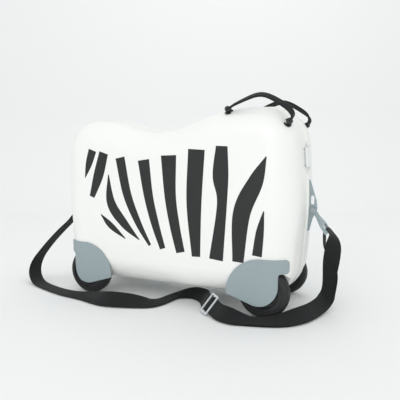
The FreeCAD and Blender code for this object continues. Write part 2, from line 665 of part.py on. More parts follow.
outer_knuckle = S.hinge_half_length - S.hinge_knuckle_half - S.clearance
left_knuckle = knuckle(
    "left_knuckle", S.hinge_place - S.hinge_knuckle_half, S.hinge_knuckle_half * 2,
    S.hinge_pin_radius + S.running_fit,
)
front_hinge_left_leaf = fuse("front_hinge_left_leaf", hinge_foot("left_hinge_foot"), left_knuckle)
tight_bore = S.hinge_pin_radius + S.press_fit
outer_knuckles = [
    knuckle("near_knuckle", hinge_start, outer_knuckle, tight_bore),
    knuckle("far_knuckle", S.hinge_place + S.hinge_knuckle_half + S.clearance, outer_knuckle, tight_bore),
]
far_leaf = fuse("far_leaf", hinge_foot("right_hinge_foot"), *outer_knuckles)
front_hinge_right_leaf = mirrored("front_hinge_right_leaf", far_leaf, ACROSS_SEAM)
front_hinge_pin = rod(
    "front_hinge_pin", (hinge_start, ORIGIN, hinge_axis_height), "X", S.hinge_pin_radius,
    S.hinge_half_length * 2,
)
hinges = [
    piece
    for source in (front_hinge_left_leaf, front_hinge_right_leaf, front_hinge_pin)
    for piece in (source, other_end(source))
]

# Latches, modelled upright against the plane x = 0 and then leaned onto the front end
latch_lean = Rotation(Vector(0, 1, 0), -math.degrees(math.atan(end_lean_share)))


def onto_front_end(item):
    """Lean a latch piece onto the front end."""
    return place(item, surface_reach(latch_height), ORIGIN, latch_height, latch_lean)


barrel_lift = S.latch_base + S.latch_barrel_radius + S.clearance
pin_spot = (barrel_lift, S.latch_pin_place)
ear_start = S.latch_half_length + S.clearance
lever_plate = block(
    "lever_plate", (S.latch_lift, -S.latch_reach, -S.latch_half_length),
    (S.latch_thickness, S.latch_reach + S.latch_pin_place, S.latch_half_length * 2),
)
lever_lip = block(
    "lever_lip", (S.latch_lift, -S.latch_reach, -S.latch_half_length),
    (S.latch_lip_height, S.latch_lip, S.latch_half_length * 2),
)
lever_barrel = rod(
    "lever_barrel", (*pin_spot, -S.latch_half_length), "Z", S.latch_barrel_radius, S.latch_half_length * 2
)
lever_bore = rod(
    "lever_bore", (*pin_spot, -S.latch_half_length - S.overrun), "Z", S.latch_pin_radius + S.running_fit,
    S.latch_half_length * 2 + S.overrun * 2,
)
front_latch = onto_front_end(
    cut("front_latch", fuse("lever_solid", lever_plate, lever_lip, lever_barrel), lever_bore)
)
base_start = S.latch_pin_place - S.latch_ear_width / 2
latch_plate = block(
    "latch_plate", (ORIGIN, base_start, -ear_start - S.latch_ear),
    (S.latch_base, S.latch_base_width, (ear_start + S.latch_ear) * 2),
)
latch_ears = [
    block(f"latch_ear_{number}", (ORIGIN, base_start, low),
          (barrel_lift + S.latch_barrel_radius, S.latch_ear_width, S.latch_ear))
    for number, low in enumerate((-ear_start - S.latch_ear, ear_start), start=1)
]
ear_bore = rod(
    "ear_bore", (*pin_spot, -ear_start - S.overrun), "Z", S.latch_pin_radius + S.press_fit,
    (ear_start + S.overrun) * 2,
)
front_latch_base = onto_front_end(
    cut("front_latch_base", fuse("latch_base_solid", latch_plate, *latch_ears), ear_bore)
)
front_latch_pin = onto_front_end(group("front_latch_pin", rod(
    "latch_pin_rod", (*pin_spot, -ear_start - S.latch_ear), "Z", S.latch_pin_radius,
    (ear_start + S.latch_ear) * 2,
)))
front_latch_keeper = onto_front_end(group("front_latch_keeper", block(
    "keeper_bar", (ORIGIN, -S.keeper_place - S.keeper_width, -S.keeper_half_length),
    (S.keeper_height, S.keeper_width, S.keeper_half_length * 2),
)))
latches = [
    piece
    for source in (front_latch, front_latch_base, front_latch_pin, front_latch_keeper)
    for piece in (source, other_end(source))
]

# Strap anchors: fins on the back of the right flange, with a slot and the pivot of the strap link
anchor_inner = S.end_reach - S.anchor_inset
anchor_outer = S.end_reach + S.anchor_proud
anchor_start = half_gap - S.anchor_thickness
pivot_reach = S.end_reach + S.link_pivot_proud
pivot_height = S.link_pivot_height
pivot_side = S.anchor_thickness / 2 - half_gap
ANCHOR_OUTLINE = [
    (anchor_inner, S.anchor_bottom, ORIGIN),
    (anchor_inner + S.link_corner_radius, S.anchor_bottom, S.anchor_corner_radius),
    (pivot_reach - S.anchor_nose, pivot_height - S.anchor_slot_rise, S.anchor_slot_length),
    (anchor_outer + S.anchor_nose, pivot_height + S.anchor_nose, S.link_boss_radius),
    (anchor_outer, pivot_height + S.anchor_slot_rise, S.anchor_slot_length),
    (anchor_inner + S.link_corner_radius, S.anchor_top, S.anchor_corner_radius),
    (anchor_inner, S.anchor_top, ORIGIN),
]
slot_middle = anchor_inner + (anchor_outer - anchor_inner) / 2 + S.seal_inset
SLOT_OUTLINE = [
    (slot_middle + side * 0.5, pivot_height + S.anchor_slot_rise + rise * 0.5, S.anchor_slot_width * 0.5)
    for side, rise in (
        (-S.anchor_slot_width, -S.anchor_slot_length), (S.anchor_slot_width, -S.anchor_slot_length),
        (S.anchor_slot_width, S.anchor_slot_length), (-S.anchor_slot_width, S.anchor_slot_length),
    )
]
fin = padded("fin", "XZ_Plane", rounded(ANCHOR_OUTLINE), S.anchor_thickness, anchor_start)
fin_slot = padded("fin_slot", "XZ_Plane", rounded(SLOT_OUTLINE), S.overrun * 2, -S.overrun)
fin_bore = rod(
    "fin_bore", (pivot_reach, -S.overrun, pivot_height), "Y", S.link_pin_radius + S.press_fit, S.overrun * 2
)
screw_reach = S.end_reach + S.anchor_screw_inset
screw_middle = anchor_middle + S.anchor_screw_lift
screw_heights = [screw_middle - S.anchor_screw_spread / 2, screw_middle + S.anchor_screw_spread / 2]
anchor_back = S.anchor_thickness - half_gap
anchor_screw_length = S.anchor_screw_depth + S.anchor_thickness
anchor_screw_start = anchor_back - anchor_screw_length


def anchor_screw(number, height):
    """A screw through an anchor into the right flange."""
    shank = rod(f"anchor_shank_{number}", (screw_reach, anchor_screw_start, height), "Y",
                S.anchor_screw_radius, anchor_screw_length)
    head = rod(f"anchor_head_{number}", (screw_reach, anchor_back, height), "Y",
               S.anchor_screw_head_radius, S.anchor_screw_head)
    return fuse(f"front_anchor_screw_{number}", shank, head)


front_anchor_screws = group("front_anchor_screws", *[
    anchor_screw(number, height) for number, height in enumerate(screw_heights, start=1)
])
anchor_screws = group("anchor_screws", front_anchor_screws, other_end(front_anchor_screws))
anchor_screw_holes = [
    rod(f"front_anchor_hole_{number}", (screw_reach, anchor_screw_start, height), "Y",
        S.anchor_screw_radius + S.press_fit, anchor_screw_length)
    for number, height in enumerate(screw_heights, start=1)
]
front_anchor_holes = fuse("front_anchor_holes", *anchor_screw_holes)
front_strap_anchor = cut("front_strap_anchor", fin, fuse("fin_cuts", fin_slot, fin_bore, front_anchor_holes))
flange_holes = fuse("flange_holes", front_anchor_holes, other_end(front_anchor_holes))
right_shell = cut("right_shell", right_shell_plain, flange_holes)
rim_seal = cut("rim_seal", rim_seal_plain, flange_holes)

# Strap links, modelled along +Y with their width along X and then hung on the anchor's pivot
lean = math.radians(S.link_lean.value)
link_way = Vector(math.sin(lean), 0, -math.cos(lean))
link_turn = Rotation(Vector(0, 1, 0), link_way, Vector(0, 1, 0).cross(link_way), "XYZ")


def onto_pivot(item):
    """Hang a link piece on the front anchor's pivot."""
    return place(item, pivot_reach, pivot_side, pivot_height, link_turn)


LINK_OUTLINE = [
    (-S.link_neck_half, ORIGIN, ORIGIN), (S.link_neck_half, ORIGIN, ORIGIN),
    (S.link_neck_half, S.link_fork_depth, S.link_corner_radius),
    (S.link_foot_half, S.link_foot_start, S.link_corner_radius),
    (S.link_foot_half, S.link_length, ORIGIN), (-S.link_foot_half, S.link_length, ORIGIN),
    (-S.link_foot_half, S.link_foot_start, S.link_corner_radius),
    (-S.link_neck_half, S.link_fork_depth, S.link_corner_radius),
]
link_plate = padded("link_plate", "XY_Plane", rounded(LINK_OUTLINE), S.link_thickness, midplane=True)
link_boss = rod(
    "link_boss", (-S.link_neck_half, ORIGIN, ORIGIN), "X", S.link_boss_radius, S.link_neck_half * 2
)
link_bar = rod(
    "link_bar", (-S.link_foot_half, S.link_length, ORIGIN), "X", S.link_bar_radius, S.link_foot_half * 2
)
link_slot = block(
    "link_slot", (-S.link_slot_half, S.link_length - S.link_slot_length, -S.overrun),
    (S.link_slot_half * 2, S.link_slot_length, S.overrun * 2),
)
fork_half = S.anchor_thickness / 2 + S.clearance
link_fork = block(
    "link_fork", (-fork_half, -S.overrun, -S.overrun),
    (fork_half * 2, S.overrun + S.link_fork_depth, S.overrun * 2),
)
link_bore = rod(
    "link_bore", (-S.overrun, ORIGIN, ORIGIN), "X", S.link_pin_radius + S.running_fit, S.overrun * 2
)
link_frame = cut("link_frame", fuse("link_solid", link_plate, link_boss), link_slot)
front_strap_link = onto_pivot(cut(
    "front_strap_link", fuse("link_barred", link_frame, link_bar), fuse("link_cuts", link_fork, link_bore)
))
pin_half = S.link_neck_half + S.clearance
front_link_pin = onto_pivot(fuse(
    "front_link_pin",
    rod("link_pin_rod", (-pin_half, ORIGIN, ORIGIN), "X", S.link_pin_radius, pin_half * 2),
    rod("link_pin_left", (-pin_half - S.link_pin_head, ORIGIN, ORIGIN), "X", S.link_pin_head_radius,
        S.link_pin_head),
    rod("link_pin_right", (pin_half, ORIGIN, ORIGIN), "X", S.link_pin_head_radius, S.link_pin_head),
))
anchors = [
    piece
    for source in (front_strap_anchor, front_strap_link, front_link_pin)
    for piece in (source, other_end(source))
]

# Carry handles: straps with round pivots in cradles on the shoulders of the head
handle_side = S.half_thickness - S.handle_inset
side_drop = S.side_radius.value - math.sqrt(
    S.side_radius.value ** 2 - (handle_side - S.half_thickness + S.side_radius).value ** 2
)
side_tilt = math.asin((handle_side - S.half_thickness + S.side_radius).value / S.side_radius.value)


def shoulder_spot(outline_point, outline_normal, lift):
    """A point at a lift over the rounded shoulder, beside a point of the case outline."""
    normal = outline_normal * math.cos(side_tilt) + Vector(0, -math.sin(side_tilt), 0)
    surface = outline_point - outline_normal * side_drop + Vector(0, -handle_side.value, 0)
    return surface + normal * lift, normal


def head_point(reach):
    """The case outline's top on the head's gentle arc."""
    slope = math.atan2((S.head_height - S.saddle_height).value, (head_start - S.saddle_place).value)
    arc_end = head_start.value + head_radius.value * math.tan(slope / 2)
    angle = math.asin((arc_end - reach) / head_radius.value)
    height = S.head_height.value - head_radius.value * (1 - math.cos(angle))
    return Vector(reach, 0, height), Vector(-math.sin(angle), 0, math.cos(angle))


def corner_point(angle):
    """The case outline on the head's corner, at an angle from upright."""
    corner_turn = math.pi / 2 - math.atan(end_lean_share)
    middle_reach = top_reach.value - head_corner_radius.value * math.tan(corner_turn / 2)
    normal = Vector(math.sin(angle), 0, math.cos(angle))
    middle = Vector(middle_reach, 0, (S.head_height - head_corner_radius).value)
    return middle + normal * head_corner_radius.value, normal


lift = S.handle_lift.value
rear_end, rear_normal = shoulder_spot(*head_point((head_start + S.handle_rear_inset).value), lift)
front_end, front_normal = shoulder_spot(*corner_point(math.radians(S.handle_front_angle.value)), lift)
handle_span = front_end - rear_end
handle_path = [rear_end]
for along_share, rise_share in HANDLE_BEND_SHARES:
    base = rear_end + handle_span * along_share
    handle_path.append(base + Vector(0, 0, S.handle_rise.value * rise_share))
handle_path.append(front_end)


def strip_outline(path, thickness):
    """The rounded outline of a strip of even thickness along a path in the XZ plane."""
    left, right = [], []
    for i, point in enumerate(path):
        before = (point - path[i - 1]).normalize() if i else (path[1] - point).normalize()
        after = (path[i + 1] - point).normalize() if i + 1 < len(path) else before
        side = Vector(-before.z - after.z, 0, before.x + after.x)
        offset = side * (thickness / side.dot(Vector(-before.z, 0, before.x)) / 2)
        turn = before.getAngle(after)
        run = min((point - path[i - 1]).Length, (path[i + 1] - point).Length) if 0 < i < len(path) - 1 else 0
        radius = RUN_SHARE * run / math.tan(turn / 2) if run else 0
        bend = 1 if before.z * after.x - before.x * after.z > 0 else -1
        left.append((point + offset, radius + bend * thickness / 2 if radius else 0))
        right.append((point - offset, radius - bend * thickness / 2 if radius else 0))
    return [(spot.x, spot.z, radius) for spot, radius in right + left[::-1]]


handle_strip = padded(
    "handle_strip", "XZ_Plane", rounded(strip_outline(handle_path, S.handle_thickness.value)), S.handle_width,
    as_size(-rear_end.y) - S.handle_width / 2,
)
handle_turn = Rotation(Vector(0, 0, 1), handle_span)


def along_handle(name, middle, radius, length):
    """A cylinder on the handle's swing axis, round one of its ends."""
    cylinder = doc.addObject("Part::Cylinder", name)
    bind(cylinder, Radius=radius, Height=length)
    start = middle - handle_turn.multVec(Vector(0, 0, 1)) * (length / 2).value
    return place(cylinder, *start, handle_turn)


right_handle = fuse(
    "right_handle", handle_strip,
    along_handle("handle_rear_pivot", rear_end, S.handle_pivot_radius, S.handle_pivot_length),
    along_handle("handle_front_pivot", front_end, S.handle_pivot_radius, S.handle_pivot_length),
)


def handle_cup(name, middle, normal):
    """A cradle on the shoulder that holds one of a handle's pivots."""
    post = doc.addObject("Part::Cylinder", f"{name}_post")
    bind(post, Radius=S.handle_cup_radius, Height=S.handle_lift + S.handle_cup_height)
    foot = middle - normal * (S.handle_lift * 2).value
    place(post, *foot, Rotation(Vector(0, 0, 1), normal))
    socket = along_handle(f"{name}_socket", middle, S.handle_pivot_radius + S.running_fit, S.overrun * 2)
    seated = cut(f"{name}_seated", post, right_block)
    return cut(name, seated, socket)


right_handle_mounts = group(
    "right_handle_mounts", handle_cup("handle_rear_cup", rear_end, rear_normal),
    handle_cup("handle_front_cup", front_end, front_normal),
)
handles = [right_handle, other_side(right_handle), right_handle_mounts, other_side(right_handle_mounts)]


# Shoulder strap: flat webbing along straight runs and tangent arcs
def ribbon(sections):
    """A solid through four-cornered sections, with ruled sides."""
    faces = [Part.Face(Part.makePolygon(loop + loop[:1])) for loop in (sections[0], sections[-1])]
    for near, far in zip(sections, sections[1:]):
        for i in range(len(near)):
            side = Part.BezierSurface()
            side.setPole(1, 1, near[i - 1])
            side.setPole(1, 2, near[i])
            side.setPole(2, 1, far[i - 1])
            side.setPole(2, 2, far[i])
            faces.append(side.toShape())
    shell = Part.Shell(faces)
    shell.sewShape()
    solid = Part.Solid(shell)
    return solid if solid.Volume > 0 else solid.reversed()


def webbing(name, route):
    """A ribbon along a route of (middle, width direction) points, with its corners rounded."""
    spots = [Vector(*spot) for spot, _ in route]
    widths = [Vector(*way).normalize() for _, way in route]
    line = [(spots[0], widths[0])]
    radii = []
    for i in range(1, len(spots) - 1):
        before, after = spots[i] - spots[i - 1], spots[i + 1] - spots[i]
        turn = before.getAngle(after)
        reach = RUN_SHARE * min(before.Length, after.Length)
        radii.append(reach / math.tan(turn / 2))
        enter, leave = before.normalize() * -reach, after.normalize() * reach
        steps = max(1, math.ceil(math.degrees(turn) / ARC_STEP_DEGREES))
        middle_way = (enter + leave).normalize()
        centre = spots[i] + middle_way * math.hypot(radii[-1], reach)
        arm, axis = spots[i] + enter - centre, (spots[i] + enter - centre).cross(spots[i] + leave - centre)
        for step in range(steps + 1):
            share = step / steps
            spot = centre + Rotation(axis, math.degrees(turn) * share).multVec(arm)
            near, far = (i - 1, i) if share < 0.5 else (i, i + 1)
            mix = abs(share - 0.5) * RUN_SHARE * 2
            other = widths[near] if share < 0.5 else widths[far]
            line.append((spot, widths[i] * (1 - mix) + other * mix))
    line.append((spots[-1], widths[-1]))
    sections, length = [], 0.0
    for i, (spot, width) in enumerate(line):
        ahead, behind = line[min(i + 1, len(line) - 1)][0], line[max(i - 1, 0)][0]
        way = (ahead - behind).normalize()
        across = (width - way * width.dot(way)).normalize() * (S.strap_width.value / 2)
        up = way.cross(across).normalize() * (S.strap_thickness.value / 2)
        loop = [spot + across + up, spot - across + up, spot - across - up, spot + across - up]
        sections.append(loop)
        if i:
            length += (spot - line[i - 1][0]).Length
    strap = doc.addObject("Part::Feature", name)
    strap.Shape = ribbon(sections)
    expected = length * S.strap_width.value * S.strap_thickness.value
    print(name, "length", round(length), "volume share", round(strap.Shape.Volume / expected, 3),
          "radii", [round(radius) for radius in radii],
          "lowest", round(strap.Shape.BoundBox.ZMin, 2))
    return strap


across = Vector(*SLIDER_ACROSS).normalize()
along = Vector(*SLIDER_ALONG)
along = (along - across * along.dot(across)).normalize()
slider_face = across.cross(along)


def at_slider(reach, lay):
    """A point of the webbing beside the slider, by its reach along the strap and its lay off the slider."""
    return tuple(Vector(*SLIDER_PLACE) + along * reach.value + slider_face * lay.value), tuple(across)


strap_front = webbing("strap_front", [
    at_slider(-S.slider_end, -S.slider_lay), at_slider(S.slider_length / 2, -S.slider_lay),
    *STRAP_FRONT_ROUTE,
    at_slider(S.slider_length / 2, S.slider_lay), at_slider(-S.slider_bar / 4, S.slider_lay),
])
strap_rear = webbing("strap_rear", [
    at_slider(-S.slider_bar, S.slider_lay), at_slider(-S.slider_length / 2, S.slider_lay),
    *STRAP_REAR_ROUTE,
])
slider_turn = Rotation(across, along, slider_face, "XYZ")
slot_length = S.slider_length - S.slider_bar * 2
slot_width = (S.slider_width - S.slider_bar * 3) / 2
slider_plate = block(
    "slider_plate", (-S.slider_length / 2, -S.slider_width / 2, -S.slider_thickness / 2),
    (S.slider_length, S.slider_width, S.slider_thickness),
)
slider_slots = [
    block(f"slider_slot_{number}", (-slot_length / 2, low, -S.overrun),
          (slot_length, slot_width, S.overrun * 2))
    for number, low in enumerate((-S.slider_bar / 2 - slot_width, S.slider_bar / 2), start=1)
]
strap_slider = place(
    cut("strap_slider", slider_plate, fuse("slider_slots", *slider_slots)), *SLIDER_PLACE, slider_turn
)

PIECES = [
    right_shell, left_shell, rim_seal, *covers, *wheels, *axles, *washers, *cover_screws, *hinges, *latches,
    *anchors, anchor_screws, *handles, strap_front, strap_rear, strap_slider,
]
doc.recompute()
for item in doc.Objects:
    if "Invalid" in item.State or "Error" in item.State:
        raise RuntimeError(f"{item.Name} failed: {item.State}")
os.makedirs("parts", exist_ok=True)
for piece in PIECES:
    shape = piece.Shape
    if shape.isNull() or not shape.isValid():
        raise RuntimeError(f"{piece.Label} has no valid shape")
    shape.exportStep(f"parts/{piece.Label}.step")
print(len(PIECES), "pieces")
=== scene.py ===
"""Visual model of a ride-on suitcase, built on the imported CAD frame: finishes, printed stripes and webbing."""

import json
import logging
import math
from dataclasses import dataclass, field
from enum import Enum

import bmesh
import bpy
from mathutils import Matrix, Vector
from mathutils.bvhtree import BVHTree

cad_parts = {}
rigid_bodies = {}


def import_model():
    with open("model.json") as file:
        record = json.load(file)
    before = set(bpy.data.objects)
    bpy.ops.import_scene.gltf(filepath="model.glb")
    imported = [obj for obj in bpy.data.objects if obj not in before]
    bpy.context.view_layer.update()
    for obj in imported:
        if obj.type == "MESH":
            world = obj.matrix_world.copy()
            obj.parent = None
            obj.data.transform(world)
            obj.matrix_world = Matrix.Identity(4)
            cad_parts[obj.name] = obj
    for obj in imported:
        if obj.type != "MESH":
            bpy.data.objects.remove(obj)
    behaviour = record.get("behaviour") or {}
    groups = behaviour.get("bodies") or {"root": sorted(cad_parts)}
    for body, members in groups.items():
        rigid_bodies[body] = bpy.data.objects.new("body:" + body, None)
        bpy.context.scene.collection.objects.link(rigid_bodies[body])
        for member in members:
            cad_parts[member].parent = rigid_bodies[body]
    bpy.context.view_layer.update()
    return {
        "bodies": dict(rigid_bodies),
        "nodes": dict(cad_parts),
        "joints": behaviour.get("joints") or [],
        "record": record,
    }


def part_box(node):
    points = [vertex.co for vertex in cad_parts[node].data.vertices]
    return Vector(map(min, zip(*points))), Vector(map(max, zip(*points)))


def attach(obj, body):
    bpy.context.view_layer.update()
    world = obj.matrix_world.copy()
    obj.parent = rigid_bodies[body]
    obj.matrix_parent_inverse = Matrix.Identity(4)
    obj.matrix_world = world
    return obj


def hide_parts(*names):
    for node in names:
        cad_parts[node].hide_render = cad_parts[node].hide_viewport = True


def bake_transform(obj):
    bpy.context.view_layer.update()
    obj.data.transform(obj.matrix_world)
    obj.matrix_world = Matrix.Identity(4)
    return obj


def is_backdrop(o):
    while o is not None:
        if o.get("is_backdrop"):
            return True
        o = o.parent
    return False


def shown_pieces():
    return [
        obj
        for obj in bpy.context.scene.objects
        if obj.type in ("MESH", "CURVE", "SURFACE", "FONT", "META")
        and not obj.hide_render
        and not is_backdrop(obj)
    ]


LOG = logging.getLogger("ride_on_case")
MM = 0.001
CLOTH_MAP = "cloth"
# The wave texture runs through this many radians over a length of one
WAVE_TURNS = 20
# Points nearer than this are one point, and edges sharper than this stay crisp
MERGE = MM / 1000
SHARP = math.radians(50)

Point = tuple[float, float, float]
Section = tuple[tuple[float, float], ...]
Route = list[tuple[Point, Point]]


class Surface(Enum):
    """The kinds of surface that the finishes are built from."""

    MOULDED = "moulded"
    RUBBER = "rubber"
    WEBBING = "webbing"
    STEEL = "steel"
    BACKDROP = "backdrop"


class Half(Enum):
    """The two halves of the case, with the side of the seam each lies on."""

    RIGHT = -1
    LEFT = 1

    @property
    def word(self) -> str:
        """The half's name as the CAD nodes spell it."""
        return self.name.lower()


@dataclass(frozen=True)
class Finish:
    """A material: its sRGB colours, surface kind, gloss and the real sizes of its texture."""

    name: str
    colour: str
    # The second colour: paler rubbed wear on edges, and on webbing a painted highlight on the rib crowns
    rubbed: str
    surface: Surface
    roughness: float
    ior: float
    grain_mm: float
    depth_mm: float
    edge_mm: float = 0.5


# Gloss-moulded ABS: clean white with a soft sheen that drifts a little, over a faint orange-peel skin
SHELL = Finish("gloss_abs_white", "F4F5F2", "FAFAF8", Surface.MOULDED, 0.33, 1.54, 1.6, 0.004, 0.3)
# Satin-moulded polypropylene: even blue-grey with paler rubbed edges; its 0.1 mm grain is drawn coarser to show
TRIM = Finish("satin_polypropylene_grey", "98A6AA", "B2BBBE", Surface.MOULDED, 0.5, 1.49, 0.45, 0.014, 0.7)
# Gloss-moulded ABS of the latches: white and smooth, with crisp bright edges
LATCH = Finish("gloss_abs_latch_white", "EEF1F1", "FAFAF8", Surface.MOULDED, 0.35, 1.54, 0.8, 0.004)
# Moulded rubber: soft black with a dusty bloom on its rubbed edges
TYRE = Finish("moulded_rubber_black", "1D1E1F", "2C2D2E", Surface.RUBBER, 0.6, 1.52, 0.5, 0.02, 0.8)
# Moulded nylon: black with a low sheen and fine grain
DARK = Finish("moulded_nylon_black", "202224", "333537", Surface.MOULDED, 0.42, 1.53, 0.4, 0.012)
# Natural acetal: milky and smooth, with a waxy shine
BEARING = Finish("acetal_natural", "C9CAC6", "D6D6D2", Surface.MOULDED, 0.38, 1.48, 0.5, 0.004, 0.3)
# Zinc-plated steel: cool grey metal with fine turning marks
STEEL = Finish("zinc_plated_steel", "A6A9AC", "C2C4C6", Surface.STEEL, 0.3, 1.5, 0.25, 0.004, 0.25)
# Extruded rubber of the seal: dull mid grey
SEAL = Finish("extruded_rubber_grey", "5A5E60", "6A6D6F", Surface.RUBBER, 0.7, 1.52, 0.5, 0.01, 0.3)
# Woven polypropylene webbing: black ribs across, 1.5 mm apart, with a dull painted highlight on their crowns
STRAP = Finish("woven_polypropylene_black", "111213", "262729", Surface.WEBBING, 0.82, 1.49, 1.5, 0.14)
# Woven nylon webbing: tighter and a little smoother, with ribs 1.1 mm apart and a painted highlight on their crowns
HANDLE = Finish("woven_nylon_black", "121314", "242527", Surface.WEBBING, 0.74, 1.53, 1.1, 0.1)
# Moulded acetal of the slider: pale grey with a bright shine on its bars
SLIDER = Finish("moulded_acetal_pale", "D0D6D9", "E6EAEB", Surface.MOULDED, 0.28, 1.48, 0.6, 0.003, 0.4)
# Screen-printed ink: flat charcoal with the faint skin of the shell under it
PRINT = Finish("screen_ink_charcoal", "1A1B1C", "262728", Surface.MOULDED, 0.46, 1.5, 1.6, 0.004, 0.1)
# Polyester sewing thread: dark grey with a soft sheen; its twist is drawn coarser to show
THREAD = Finish("polyester_thread_grey", "35363A", "4A4B4F", Surface.RUBBER, 0.7, 1.53, 0.3, 0.02, 0.1)
# Matt studio paper: pale and even, with a faint tooth
PAPER = Finish("studio_paper_pale", "F4F5F5", "F4F5F5", Surface.BACKDROP, 0.9, 1.4, 4.0, 0.05)

SLOT_FINISHES: dict[str, Finish] = {
    "shell": SHELL, "trim": TRIM, "latch": LATCH, "tyre": TYRE, "dark_plastic": DARK, "bearing": BEARING,
    "steel": STEEL, "seal": SEAL, "handle": HANDLE, "webbing": STRAP, "slider": SLIDER,
}


def linear(colour: str) -> tuple[float, float, float, float]:
    """Turn an sRGB colour into the linear one that shaders take.

    Args:
        colour: Six hexadecimal digits.

    Returns:
        Linear red, green, blue and an alpha of one.
    """
    values = []
    for start in range(0, len(colour), 2):
        share = int(colour[start:start + 2], 16) / 255
        values.append(share / 12.92 if share <= 0.04045 else ((share + 0.055) / 1.055) ** 2.4)
    return values[0], values[1], values[2], 1.0


def add_node(tree: bpy.types.NodeTree, kind: str, inputs: dict[str | int, object] | None = None,
             **settings: object) -> bpy.types.Node:
    """Add a node to a tree, set its options and feed its inputs.

    Args:
        tree: The node tree.
        kind: The node's type name.
        inputs: Values or output sockets by input name or number.
        settings: Options of the node.

    Returns:
        The new node.
    """
    node = tree.nodes.new(kind)
    for name, value in settings.items():
        setattr(node, name, value)
    for name, value in (inputs or {}).items():
        if isinstance(value, bpy.types.NodeSocket):
            tree.links.new(value, node.inputs[name])
        else:
            node.inputs[name].default_value = value
    return node


